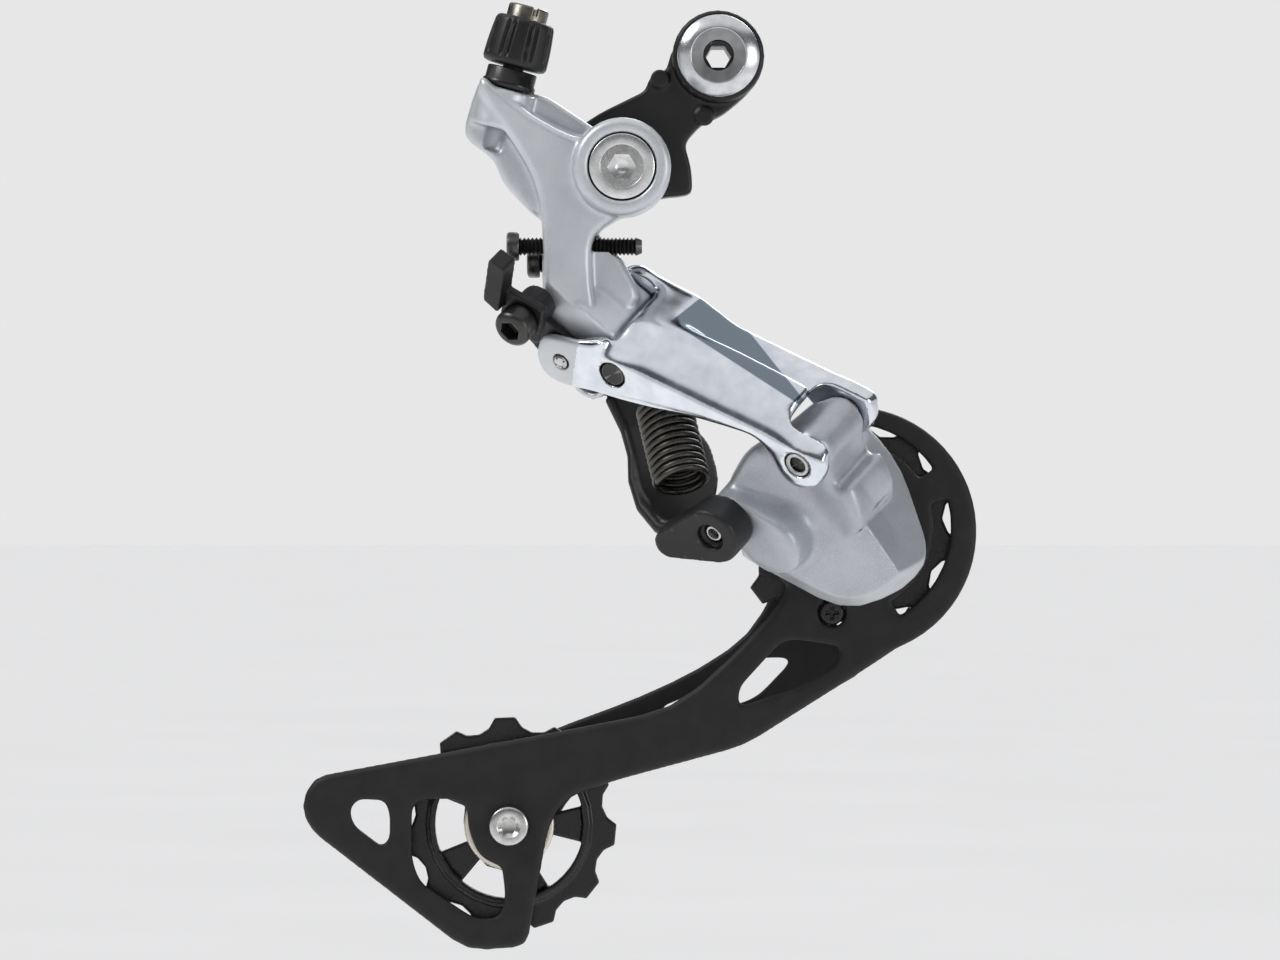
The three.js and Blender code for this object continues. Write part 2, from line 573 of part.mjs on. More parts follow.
// Lever that the inner cable is clamped to, riveted behind the rear lobe of the outer link.
const ARM_FRONT = -2.3;
const ARM_BOSS_RADIUS = 3.8;
const armPlate = plateLink(outline([
  [-8.6, -7.4, 2], [-8.6, 0.6, 2], [-17, 3.4, 3], [-21, 6, 2], [-27, 5, 3], [-26.6, -1, 3],
  [-19, -4, 3], [-15, -8, 3],
]), -EAR, ARM_FRONT);
const armBoss = barLink(CLAMP.along, CLAMP.over, ARM_BOSS_RADIUS, ARM_FRONT - 0.8, 1.6, SMALL_ROUND);
add('cable_arm', cut(
  join(armPlate, armBoss),
  barLink(ARM_PIN.along, ARM_PIN.over, ARM_PIN_RADIUS + FIT, -EAR - 1, 1, SMALL_ROUND),
  barLink(CLAMP.along, CLAMP.over, CLAMP_BOLT_RADIUS + FIT, -EAR - 1, 3, SMALL_ROUND),
), ...BLACK);
add('cable_arm_pin', barLink(ARM_PIN.along, ARM_PIN.over, ARM_PIN_RADIUS, -EAR, 0.3, SMALL_ROUND), ...STEEL);

const PLATE_NEAR = 3.9;
add('cable_clamp_plate', cut(
  join(
    plateLink(outline([
      [CLAMP.along - 5, CLAMP.over - 4, 1], [CLAMP.along + 4.5, CLAMP.over - 4.6, 1],
      [CLAMP.along + 4.5, CLAMP.over + 4.6, 1], [CLAMP.along - 5, CLAMP.over + 5.4, 1],
    ]), 1.9, PLATE_NEAR, 0.3),
    plateLink(outline([
      [CLAMP.along - 8, CLAMP.over + 2.5, 0.8], [CLAMP.along - 4.2, CLAMP.over + 1, 0.8],
      [CLAMP.along - 4.2, CLAMP.over + 12.4, 0.8], [CLAMP.along - 8, CLAMP.over + 13.4, 0.8],
    ]), 1.9, 6.4),
  ),
  barLink(CLAMP.along, CLAMP.over, CLAMP_BOLT_RADIUS + FIT, 1, PLATE_NEAR + 1, SMALL_ROUND),
), ...BLACK);
const clampHead = PLATE_NEAR + FIT;
add('cable_clamp_bolt', cut(
  turned(linkPoint(CLAMP.along, CLAMP.over, 0), PIN_OUT, [
    [0, -EAR], [CLAMP_BOLT_RADIUS, -EAR], [CLAMP_BOLT_RADIUS, clampHead], [3.9, clampHead],
    [3.9, clampHead + 3.4], [3.2, clampHead + 4.4], [0, clampHead + 4.4],
  ], SMALL_ROUND),
  hexBar(linkPoint(CLAMP.along, CLAMP.over, 0), PIN_OUT, 4, clampHead + 1.6, clampHead + 6),
), ...DARK_STEEL);

// ---------------------------------------------------------------- inner link

const D_ALONG = LINK_LENGTH + OFFSET_ALONG;
const innerPath = new THREE.CatmullRomCurve3([
  linkPoint(D_ALONG, OFFSET_OVER - 3, D_FACE - 4), linkPoint(23.6, -25.4, 6.8), linkPoint(12.4, -27.4, 0),
  linkPoint(3, -26, -12.6), linkPoint(OFFSET_ALONG, OFFSET_OVER - 1, C_BOSS_NEAR - 3.6),
]);
// Channel floor under the spring, and the flat front arm that widens into the boss.
const INNER_FLOOR = { low: -27.4, high: -24.6 };
const innerFloor = plateOver(outline([
  [-6, -22.4, 2], [-2.1, -17.5, 3], [3.5, -8.8, 4], [10.5, 0.7, 5], [18.3, 5.8, 4], [25.4, 7.4, 2],
  [26, 0, 4], [22, -12, 4], [14, -21, 4], [4, -23.4, 3],
]), INNER_FLOOR.low, INNER_FLOOR.high);
const armShape = capsule(D_ALONG, OFFSET_OVER, INNER_BOSS_RADIUS, 23.4, -24.6, 3.2);
const frontArm = plateLink(armShape, 5.4, D_FACE, 0.4, 6);
const barSection = outline([[-1.4, -3.6, 0.8], [1.4, -3.6, 0.8], [1.4, 3.6, 0.8], [-1.4, 3.6, 0.8]]);
const innerBar = new THREE.ExtrudeGeometry(barSection, {
  steps: 8,
  curveSegments: 1,
  extrudePath: innerPath,
});
const D_BOSS_FAR = D_FACE - INNER_BOSS_LENGTH;
add('inner_link', cut(
  join(
    innerBar,
    innerFloor,
    frontArm,
    turned(linkPoint(D_ALONG, OFFSET_OVER, 0), PIN_OUT, [
      [0, D_BOSS_FAR], [INNER_BOSS_RADIUS, D_BOSS_FAR], [INNER_BOSS_RADIUS, D_FACE - 0.5],
      [INNER_BOSS_RADIUS - 0.5, D_FACE], [0, D_FACE],
    ]),
    barLink(OFFSET_ALONG, OFFSET_OVER, INNER_BOSS_RADIUS - 0.6, C_BOSS_FAR, C_BOSS_NEAR),
  ),
  barLink(D_ALONG, OFFSET_OVER, PIN_D_RADIUS + FIT, D_BOSS_FAR - 1, D_FACE + 1, SMALL_ROUND),
  barLink(D_ALONG, OFFSET_OVER, COUNTERBORE.radius, D_FACE - COUNTERBORE.depth, D_FACE + 1),
  barLink(D_ALONG, OFFSET_OVER, 8, -8, D_BOSS_FAR),
  barLink(OFFSET_ALONG, OFFSET_OVER, PIN_RADIUS + FIT, C_BOSS_FAR - 6, C_BOSS_NEAR + 6, SMALL_ROUND),
  barLink(OFFSET_ALONG, OFFSET_OVER, 5.6, C_BOSS_NEAR, C_BOSS_NEAR + 6),
), ...BLACK);

// Coil spring as one bent round wire.
class Helix extends THREE.Curve {
  constructor(from, to, radius, turns) {
    super();
    this.from = from;
    this.axis = to.clone().sub(from);
    this.side = new THREE.Vector3(1, 0, 0).cross(this.axis).normalize();
    this.other = this.axis.clone().normalize().cross(this.side);
    this.radius = radius;
    this.turns = turns;
  }

  getPoint(part, target = new THREE.Vector3()) {
    const angle = part * this.turns * FULL_TURN;
    return target.copy(this.from)
      .addScaledVector(this.axis, part)
      .addScaledVector(this.side, this.radius * Math.cos(angle))
      .addScaledVector(this.other, this.radius * Math.sin(angle));
  }
}

function coil(from, to, radius, turns, wire, stepsPerTurn) {
  const section = new THREE.Shape().absarc(0, 0, wire / 2, 0, FULL_TURN, false);
  return new THREE.ExtrudeGeometry(section, {
    steps: Math.round(turns * stepsPerTurn),
    curveSegments: 2,
    extrudePath: new Helix(from, to, radius, turns),
  });
}

const SPRING_SEAT = linkPoint(20.6, -17.2, 2.4);
const SPRING_HOOK = linkPoint(7.5, -12.4, -11);
const RETURN_SPRING = { radius: 5.5, turns: 9, wire: 1.4 };
add('return_spring', coil(
  SPRING_SEAT, SPRING_HOOK, RETURN_SPRING.radius, RETURN_SPRING.turns, RETURN_SPRING.wire, 9,
), ...DARK_STEEL);

// ---------------------------------------------------------------- lower body

// Everything in front of a plane, given by a point on it and the way it faces.
function infront(point, facing) {
  return aim(new THREE.BoxGeometry(240, 240, 80).translate(0, 0, 40), point, facing);
}

const lowerBlock = plateY(outline([
  [20.4, -69, 2], [27, -71.4, 5], [36.4, -81.6, 10], [42.2, -99, 8], [40.6, -105.6, 5],
  [26.4, -112.6, 8], [4.2, -100.6, 2], [7.4, -93.6, 3], [1, -88, 4], [6, -79, 6], [12, -76, 4],
]), P_FACE - 10, P_BACK, 0, 3);
// The lower edges lean in towards the front by one long chamfer.
const leaningSides = new THREE.ExtrudeGeometry(outline([
  [-20, -40, 12], [70, -40, 12], [46, -90, 12], [40.6, -105.9, 12], [26.4, -112.6, 12], [-20, -88.8, 12],
]), {
  depth: P_BACK - P_SHOULDER,
  bevelThickness: P_SHOULDER - P_FACE,
  bevelSize: P_INSET,
  bevelOffset: -P_INSET,
  bevelSegments: 1,
  curveSegments: 4,
});
leaningSides.rotateX(HALF_TURN / 2).translate(0, P_BACK, 0);
const FLOOR = -EAR - FIT - 0.4; // top of the lug under the outer link's ear
const faceNormal = new THREE.Vector3(-0.197, -0.908, -0.369).normalize();
const flankNormal = new THREE.Vector3(0.731, -0.601, 0.321).normalize();
const face = infront(linkPoint(36, -24, 3), faceNormal);
const flank = infront(new THREE.Vector3(22.3, -27.5, -83.4), flankNormal);
const lugB = plateLink(
  capsule(LINK_LENGTH, 0, 4.6, 49, -12, 8), -LINK_WIDTH + EAR + FIT, FLOOR, 0.8, 4,
);
const lugD = plateLink(capsule(D_ALONG, OFFSET_OVER, 4.8, 42, -20, 7), -10, D_BOSS_FAR - FIT, 0, 4);
const webSweepB = plateLink(outline([
  [LINK_LENGTH - 20, 4.9], [LINK_LENGTH + 2, 4.9], [LINK_LENGTH + 4.9, 2], [LINK_LENGTH + 5, -2],
  [LINK_LENGTH + 7, -7], [LINK_LENGTH + 9.5, -4], [LINK_LENGTH + 9.5, 16], [LINK_LENGTH - 20, 16],
]), -LINK_WIDTH - FIT, FIT);
const earSweepB = plateLink(outline([
  [LINK_LENGTH - 20, -3], [LINK_LENGTH - 8, -6], [LINK_LENGTH, -7], [LINK_LENGTH + 7, 0],
  [LINK_LENGTH + 8, 16], [LINK_LENGTH - 20, 16],
]), -LINK_WIDTH - FIT, -LINK_WIDTH + EAR + FIT);
add('p_knuckle', cut(
  join(cut(solid(lowerBlock).intersect(solid(leaningSides)), face, flank), lugB, lugD),
  webSweepB,
  earSweepB,
  barLink(LINK_LENGTH, 0, EAR_RADIUS + 1, -EAR - FIT, 12),
  barLink(LINK_LENGTH, 0, EAR_RADIUS + 1, -LINK_WIDTH - FIT, -LINK_WIDTH + EAR + FIT),
  barLink(LINK_LENGTH, 0, PIN_RADIUS + FIT, -LINK_WIDTH, 0, SMALL_ROUND),
  barLink(D_ALONG, OFFSET_OVER, 7.6, D_BOSS_FAR - FIT, 30),
  barLink(D_ALONG, OFFSET_OVER, PIN_D_RADIUS + FIT, -8, 12, SMALL_ROUND),
  barY(P_AXIS, P_BORE_RADIUS, P_BORE_FRONT, P_BACK + 1),
  barY(P_AXIS, P_AXLE_RADIUS + P_BUSH_WALL + FIT, P_BUSH_FRONT, P_BORE_FRONT + 1),
), ...SILVER_DARK);

add('link_pin_b', barLink(LINK_LENGTH, 0, PIN_RADIUS, -LINK_WIDTH + 0.4, -0.2, SMALL_ROUND), ...DARK_STEEL);
add('link_pin_d', cut(
  barLink(D_ALONG, OFFSET_OVER, PIN_D_RADIUS, -7.6, D_FACE - COUNTERBORE.depth, SMALL_ROUND),
  barLink(D_ALONG, OFFSET_OVER, PIN_D_RADIUS - 0.7, D_FACE - COUNTERBORE.depth - 3, D_FACE, SMALL_ROUND),
), ...STEEL);

const BUSH_FRONT = P_BUSH_FRONT + FIT;
add('p_bush', turnedY(P_AXIS, [
  [P_AXLE_RADIUS + FIT, BUSH_FRONT], [P_AXLE_RADIUS + P_BUSH_WALL, BUSH_FRONT],
  [P_AXLE_RADIUS + P_BUSH_WALL, P_BORE_FRONT + 1], [P_AXLE_RADIUS + FIT, P_BORE_FRONT + 1],
]), ...BUSH);
const P_SPRING = { radius: 9.2, turns: 3.5, wire: 2.2, front: P_BORE_FRONT + 1.6, back: P_BACK - 4.6 };
add('p_spring', coil(
  new THREE.Vector3(P_AXIS.x, P_SPRING.front, P_AXIS.z),
  new THREE.Vector3(P_AXIS.x, P_SPRING.back, P_AXIS.z),
  P_SPRING.radius, P_SPRING.turns, P_SPRING.wire, 12,
), ...DARK_STEEL);
add('p_seal_ring', turnedY(P_AXIS, [
  [P_BORE_RADIUS - 2.2, P_BACK - 1.6], [P_BORE_RADIUS - 0.2, P_BACK - 1.6],
  [P_BORE_RADIUS - 0.2, P_BACK - 0.1], [P_BORE_RADIUS - 2.2, P_BACK - 0.1],
]), ...POLYMER);

// ---------------------------------------------------------------- cage

const AXLE_FLANGE_RADIUS = P_AXLE_RADIUS + 3;
const AXLE_BACK = OUTER_PLATE_FRONT - FIT / 3;
add('p_axle', turnedY(P_AXIS, [
  [0, BUSH_FRONT + 0.4], [P_AXLE_RADIUS, BUSH_FRONT + 0.4], [P_AXLE_RADIUS, P_BACK - 3],
  [AXLE_FLANGE_RADIUS, P_BACK - 3], [AXLE_FLANGE_RADIUS, AXLE_BACK], [0, AXLE_BACK],
]), ...STEEL);

// Part of a ring between two angles, as a slot in a plate.
function arcSlot(centre, inner, outer, fromDegrees, toDegrees) {
  const from = THREE.MathUtils.degToRad(fromDegrees);
  const to = THREE.MathUtils.degToRad(toDegrees);
  const path = new THREE.Shape();
  path.absarc(centre.x, centre.z, outer, from, to, false);
  path.absarc(centre.x, centre.z, inner, to, from, true);
  path.closePath();
  return path;
}

const THROUGH = [OUTER_PLATE_FRONT - 1, OUTER_PLATE_BACK + 1];
const hubShape = disc(P_AXIS.x, P_AXIS.z, HUB_DISC_RADIUS);
const hubDisc = plateY(hubShape, OUTER_PLATE_FRONT, OUTER_PLATE_BACK, 0.4, 14);
const ringShape = arcSlot(RING_CENTRE, HUB_DISC_RADIUS - 3, RING_RADIUS, -72, 112);
const ringPlate = plateY(ringShape, OUTER_PLATE_FRONT, OUTER_PLATE_BACK, 0.6, 16);
const armPlateOuter = plateY(outline([
  [50.6, -106, 4], [45.1, -113.9, 4], [32.9, -122.4, 6], [12.6, -135.2, 6], [5.5, -139.7, 5],
  [-22.3, -147.2, 6], [-31, -150.4, 6], [-34.4, -156, 8], [-38.8, -180.6, 2.5], [-51, -181.6, 4],
  [-83, -156.9, 4], [-85, -152, 4], [-82.6, -146, 4], [-32.1, -136.6, 10], [-9.4, -132.2, 8],
  [2, -122.4, 8], [13.6, -109.8, 6], [16, -100, 3], [28, -96, 3],
]), OUTER_PLATE_FRONT, OUTER_PLATE_BACK, 0.9);
const windows = [
  outline([[15.6, -117.9, 3], [25, -119.3, 1.5], [24.6, -122.6, 2], [17.5, -127.4, 4], [4.2, -131.8, 2],
    [4.4, -127.8, 3], [12.8, -118.6, 3]]),
  outline([[-75, -152.6, 1.5], [-73.2, -150.5, 1.5], [-67.8, -150.8, 1.5], [-66.8, -153.5, 2],
    [-66.8, -158.5, 1], [-68.4, -160.2, 1], [-74.2, -155.8, 1.5]]),
  outline([[-62.3, -152.4, 1.5], [-60.5, -150.5, 1.5], [-53.4, -150.5, 2], [-51, -152.4, 1],
    [-50.8, -156.6, 4], [-48.6, -162.2, 4], [-43.9, -164.4, 1], [-43.2, -170.7, 3], [-44.4, -174.6, 1.5],
    [-49.3, -175, 3], [-60.6, -167.6, 4], [-62.3, -163, 3]]),
  arcSlot(P_AXIS, HUB_DISC_RADIUS, RING_INSIDE, -60, 16),
  arcSlot(P_AXIS, HUB_DISC_RADIUS, RING_INSIDE, 34, 98),
];
const STOP_SCREW = { x: 23.3, z: -112.5 };
const STOP_SCREW_RADIUS = 2.6;
add('cage_outer_plate', cut(
  join(hubDisc, ringPlate, armPlateOuter),
  ...windows.map((shape) => plateY(shape, ...THROUGH, 0, 4)),
  barY(P_AXIS, PULLEY_BOLT_RADIUS + FIT, ...THROUGH, SMALL_ROUND),
  barY(TENSION_AXIS, PULLEY_BOLT_RADIUS + FIT, ...THROUGH, SMALL_ROUND),
  barY(STOP_SCREW, STOP_SCREW_RADIUS + FIT, ...THROUGH, SMALL_ROUND),
), ...BLACK);

add('cage_stop_screw', cut(
  turnedY(STOP_SCREW, [
    [0, OUTER_PLATE_FRONT], [STOP_SCREW_RADIUS - 0.5, OUTER_PLATE_FRONT],
    [STOP_SCREW_RADIUS, OUTER_PLATE_FRONT + 0.5], [STOP_SCREW_RADIUS, OUTER_PLATE_BACK],
    [0, OUTER_PLATE_BACK],
  ], SMALL_ROUND),
  new THREE.BoxGeometry(2.8, 1.6, 0.7).translate(STOP_SCREW.x, OUTER_PLATE_FRONT, STOP_SCREW.z),
  new THREE.BoxGeometry(0.7, 1.6, 2.8).translate(STOP_SCREW.x, OUTER_PLATE_FRONT, STOP_SCREW.z),
), ...DARK_STEEL);

const innerWindows = [
  outline([[0, -127.4, 1.5], [8, -122, 3], [16, -122, 3], [8, -130.4, 3], [-8, -135, 3], [-12, -132.4, 2]]),
  outline([[-18, -135.4, 2], [-16, -138.6, 2], [-30, -143.4, 2], [-36, -141.4, 2], [-32, -138.8, 2]]),
  disc(36, -110.4, 4),
  disc(27, -114, 3),
];
const INNER_THROUGH = [INNER_PLATE_FRONT - 1, INNER_PLATE_BACK + 1];
add('cage_inner_plate', cut(
  plateY(outline([
    [27, -82, 7], [38, -85, 7], [43, -99, 7], [40, -114, 7], [28.6, -126.4, 5], [10, -134.6, 8],
    [-26, -145.6, 8], [-34, -156, 7], [-37, -166, 6], [-48, -166, 6], [-53, -156, 7], [-50, -145, 6],
    [-36, -137.6, 6], [-15.8, -130.1, 6], [-3.7, -124.4, 6], [6.6, -117.4, 5], [13, -106, 6], [14.4, -90, 7],
  ]), INNER_PLATE_FRONT, INNER_PLATE_BACK, 0.5),
  ...innerWindows.map((shape) => plateY(shape, ...INNER_THROUGH, 0, 3)),
  barY(P_AXIS, PULLEY_BOLT_RADIUS + FIT, ...INNER_THROUGH, SMALL_ROUND),
  barY(TENSION_AXIS, PULLEY_BOLT_RADIUS + FIT, ...INNER_THROUGH, SMALL_ROUND),
), ...BLACK);

// ---------------------------------------------------------------- pulleys and their bolts

const SLEEVE_HALF = 3.4;
const HUB_HALF = 3.3;
const HUB_RADIUS = 7.2;
const TOOTH_HALF = 1.4;
const RIM_HALF = 2.2;
const RIM_INSIDE = 15.2;
const RIM_OUTSIDE = 17;
const SPOKES = 5;

// Toothed outline: straight tips joined by one arc down to each root.
function toothOutline(axis, tipRadius, rootRadius, firstToothDegrees) {
  const pitch = FULL_TURN / PULLEY_TEETH;
  const halfTip = Math.asin(TOOTH_TIP / 2 / tipRadius);
  const reach = tipRadius * Math.sin(pitch / 2 - halfTip);
  const depth = tipRadius * Math.cos(pitch / 2 - halfTip) - rootRadius;
  const arcRadius = (reach * reach + depth * depth) / (2 * depth);
  const spread = Math.asin(reach / arcRadius);
  const sweep = depth > arcRadius ? HALF_TURN - spread : spread;
  const shape = new THREE.Shape();
  for (let tooth = 0; tooth < PULLEY_TEETH; tooth += 1) {
    const valley = THREE.MathUtils.degToRad(firstToothDegrees) + (tooth + 0.5) * pitch;
    const x = axis.x + (rootRadius + arcRadius) * Math.cos(valley);
    const z = axis.z + (rootRadius + arcRadius) * Math.sin(valley);
    const inward = valley + HALF_TURN;
    shape.absarc(x, z, arcRadius, inward + sweep, inward - sweep, true);
  }
  shape.closePath();
  return shape;
}

function pulley(name, axis, tipRadius, rootRadius, firstToothDegrees) {
  const spokeStep = 360 / SPOKES;
  const gaps = Array.from({ length: SPOKES }, (_, i) => plateY(
    arcSlot(axis, HUB_RADIUS + 1.6, RIM_INSIDE, i * spokeStep + 14, (i + 1) * spokeStep - 14),
    PULLEY_PLANE - 4, PULLEY_PLANE + 4, 0, 3,
  ));
  add(name, cut(
    join(
      plateY(toothOutline(axis, tipRadius, rootRadius, firstToothDegrees),
        PULLEY_PLANE - TOOTH_HALF, PULLEY_PLANE + TOOTH_HALF),
      turnedY(axis, [
        [RIM_INSIDE - 0.2, PULLEY_PLANE - RIM_HALF], [RIM_OUTSIDE - 0.6, PULLEY_PLANE - RIM_HALF],
        [RIM_OUTSIDE, PULLEY_PLANE - TOOTH_HALF], [RIM_OUTSIDE, PULLEY_PLANE + TOOTH_HALF],
        [RIM_OUTSIDE - 0.6, PULLEY_PLANE + RIM_HALF], [RIM_INSIDE - 0.2, PULLEY_PLANE + RIM_HALF],
      ]),
      barY(axis, HUB_RADIUS, PULLEY_PLANE - HUB_HALF, PULLEY_PLANE + HUB_HALF),
    ),
    ...gaps,
    barY(axis, PULLEY_BORE, PULLEY_PLANE - 5, PULLEY_PLANE + 5, SMALL_ROUND),
  ), ...POLYMER);
}

pulley('guide_pulley', P_AXIS, GUIDE_TIP_RADIUS, GUIDE_ROOT_RADIUS, 21);
pulley('tension_pulley', TENSION_AXIS, TENSION_TIP_RADIUS, TENSION_ROOT_RADIUS, -5.7);

// Sleeve and dust caps that a pulley turns on.
function pulleyCore(prefix, axis) {
  const bore = PULLEY_BOLT_RADIUS + FIT;
  add(`${prefix}_sleeve`, turnedY(axis, [
    [bore, PULLEY_PLANE - SLEEVE_HALF], [PULLEY_BORE - FIT, PULLEY_PLANE - SLEEVE_HALF],
    [PULLEY_BORE - FIT, PULLEY_PLANE + SLEEVE_HALF], [bore, PULLEY_PLANE + SLEEVE_HALF],
  ], SMALL_ROUND), ...BUSH);
  const caps = [['outer', OUTER_PLATE_BACK + FIT, 1], ['inner', INNER_PLATE_FRONT - FIT, -1]];
  caps.forEach(([side, capFace, inward]) => {
    add(`${prefix}_cap_${side}`, turnedY(axis, [
      [bore, capFace], [CAP_RADIUS - 0.8, capFace], [CAP_RADIUS, capFace + inward * 0.4],
      [CAP_RADIUS, capFace + inward * 0.8], [bore, capFace + inward * 0.8],
    ]), ...STEEL);
  });
}

pulleyCore('guide', P_AXIS);
pulleyCore('tension', TENSION_AXIS);

// Pulley bolt: head on one side of the cage, with a hexagon socket.
function pulleyBolt(name, axis, headFace, direction, length) {
  const from = new THREE.Vector3(axis.x, headFace, axis.z);
  const head = 2.3;
  add(name, cut(
    turned(from, direction, [
      [0, -head], [PULLEY_HEAD_RADIUS - 0.7, -head], [PULLEY_HEAD_RADIUS, 0.5 - head],
      [PULLEY_HEAD_RADIUS, 0], [PULLEY_BOLT_RADIUS, 0], [PULLEY_BOLT_RADIUS, length - 0.5],
      [PULLEY_BOLT_RADIUS - 0.5, length], [0, length],
    ], 24),
    bar(from, direction, 2.4, -head - 1, 0.5 - head, 24, 1.9),
    hexBar(from, direction, 3, -head, 1),
  ), ...STEEL);
}

pulleyBolt('guide_pulley_bolt', P_AXIS, INNER_PLATE_BACK + FIT, new THREE.Vector3(0, -1, 0), 13.8);
pulleyBolt('tension_pulley_bolt', TENSION_AXIS, OUTER_PLATE_FRONT - FIT, INBOARD, 14);

export default group;
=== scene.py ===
import json
import math

import bmesh
import bpy
from mathutils import Matrix, Vector

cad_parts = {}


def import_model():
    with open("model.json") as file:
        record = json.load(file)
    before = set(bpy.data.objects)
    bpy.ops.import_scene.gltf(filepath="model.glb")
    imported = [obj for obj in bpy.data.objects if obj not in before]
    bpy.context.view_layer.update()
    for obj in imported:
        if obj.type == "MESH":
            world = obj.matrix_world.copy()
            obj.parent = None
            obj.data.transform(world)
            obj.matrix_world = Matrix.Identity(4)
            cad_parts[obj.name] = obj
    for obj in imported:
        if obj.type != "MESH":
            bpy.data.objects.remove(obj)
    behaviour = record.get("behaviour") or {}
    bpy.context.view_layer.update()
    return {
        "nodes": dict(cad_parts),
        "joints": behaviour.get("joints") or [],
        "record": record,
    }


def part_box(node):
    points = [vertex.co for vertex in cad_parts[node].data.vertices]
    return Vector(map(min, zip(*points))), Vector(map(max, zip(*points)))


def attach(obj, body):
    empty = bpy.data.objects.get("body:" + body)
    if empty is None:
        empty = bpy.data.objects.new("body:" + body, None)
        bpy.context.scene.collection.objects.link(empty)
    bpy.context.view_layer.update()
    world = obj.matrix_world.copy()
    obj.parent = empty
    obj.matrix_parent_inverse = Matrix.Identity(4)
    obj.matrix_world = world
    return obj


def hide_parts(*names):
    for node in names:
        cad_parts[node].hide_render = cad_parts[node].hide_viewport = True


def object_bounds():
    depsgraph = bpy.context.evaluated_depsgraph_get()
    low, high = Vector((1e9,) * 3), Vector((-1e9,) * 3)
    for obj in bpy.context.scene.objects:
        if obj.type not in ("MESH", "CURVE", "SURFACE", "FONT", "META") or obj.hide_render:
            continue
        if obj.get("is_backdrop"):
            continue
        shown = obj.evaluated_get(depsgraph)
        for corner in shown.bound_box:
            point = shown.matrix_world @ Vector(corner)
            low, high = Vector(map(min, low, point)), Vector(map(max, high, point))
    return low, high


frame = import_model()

MM = 0.001
TURN = 2 * math.pi
JOINTS = {joint["name"]: joint for joint in frame["joints"]}
BODY_OF = {
    node: body
    for body, nodes in frame["record"]["behaviour"]["bodies"].items()
    for node in nodes
}

# ------------------------------------------------------------------ directions and places

INBOARD = Vector((0, 1, 0))
FRONT = Vector((1, 0, 0))


def joint_place(name):
    return Vector(JOINTS[name]["pos_m"])


def joint_axis(name):
    return Vector(JOINTS[name]["axis"]).normalized()


# The slanted parallelogram: along runs from pin A to pin B, out is outboard along the pins.
PIN_OUT = -joint_axis("outer_link_pivot")
PIN_A = joint_place("outer_link_pivot")
TO_B = joint_place("p_knuckle_pivot") - PIN_A
ALONG = (TO_B - PIN_OUT * TO_B.dot(PIN_OUT)).normalized()
OVER = PIN_OUT.cross(ALONG)
LINK_MIDDLE = 12 * MM  # the pivots' joint points lie this far behind the outer link's front face


def link_point(along, over, out):
    return PIN_A + ALONG * along * MM + OVER * over * MM + PIN_OUT * (out * MM + LINK_MIDDLE)


def centre_of(node):
    low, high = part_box(node)
    return (low + high) / 2


def spread(node, origin, axis):
    """Lowest and highest place of a node along an axis, and its reach from that axis, in mm."""
    heights = []
    reach = 0.0
    for vertex in frame["nodes"][node].data.vertices:
        offset = vertex.co - origin
        height = offset.dot(axis)
        heights.append(height)
        reach = max(reach, (offset - axis * height).length)
    return min(heights) / MM, max(heights) / MM, reach / MM


# ------------------------------------------------------------------ mesh helpers


def new_object(name, mesh):
    piece = bpy.data.objects.new(name, mesh)
    bpy.context.scene.collection.objects.link(piece)
    return piece


def mesh_from(name, vertices, faces):
    mesh = bpy.data.meshes.new(name)
    mesh.from_pydata([tuple(v) for v in vertices], [], faces)
    mesh.validate()
    return mesh


def apply_modifiers(piece):
    graph = bpy.context.evaluated_depsgraph_get()
    made = bpy.data.meshes.new_from_object(piece.evaluated_get(graph))
    piece.modifiers.clear()
    old = piece.data
    piece.data = made
    bpy.data.meshes.remove(old)
    return piece


def welded_copy(node, name):
    mesh = frame["nodes"][node].data.copy()
    mesh.materials.clear()
    bm = bmesh.new()
    bm.from_mesh(mesh)
    bmesh.ops.remove_doubles(bm, verts=bm.verts, dist=1e-6)
    bm.to_mesh(mesh)
    bm.free()
    return new_object(name, mesh)


def stand_for(piece, node, material):
    """The piece takes the node's place: its body and its look."""
    piece.data.materials.clear()
    piece.data.materials.append(material)
    piece.data.shade_smooth()
    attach(piece, BODY_OF[node])
    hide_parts(node)
    return piece


SMOOTHING = 0.5  # share of the way to its neighbours that a smoothing round moves a point


def remesh(piece, voxel, rounds):
    step = piece.modifiers.new("voxels", "REMESH")
    step.mode = "VOXEL"
    step.voxel_size = voxel * MM
    step.adaptivity = 0
    step.use_smooth_shade = True
    soften = piece.modifiers.new("soften", "SMOOTH")
    soften.factor = SMOOTHING
    soften.iterations = rounds
    return apply_modifiers(piece)


def cast(node, material, voxel=0.4, rounds=6):
    """A casting, moulding or forging with the node's form and rounded edges and inner corners."""
    piece = remesh(welded_copy(node, "look_" + node), voxel, rounds)
    return stand_for(piece, node, material)


def sculpt(piece, rounds, softness):
    """Smooths a casting more where softness(point), from 0 to 1, is higher."""
    group = piece.vertex_groups.new(name="softness")
    for vertex in piece.data.vertices:
        weight = min(1.0, max(0.0, softness(vertex.co)))
        if weight > 0:
            group.add([vertex.index], weight, "REPLACE")
    step = piece.modifiers.new("sculpt", "SMOOTH")
    step.factor = SMOOTHING
    step.iterations = rounds
    step.vertex_group = group.name
    apply_modifiers(piece)
    piece.vertex_groups.clear()


def clear_of(point, centres, axis, radius, fade):
    """Up to 0 within a radius of the axes through the centres, and 1 a fade further out, in mm."""
    nearest = min(((point - c) - axis * (point - c).dot(axis)).length for c in centres) / MM
    return (nearest - radius) / fade


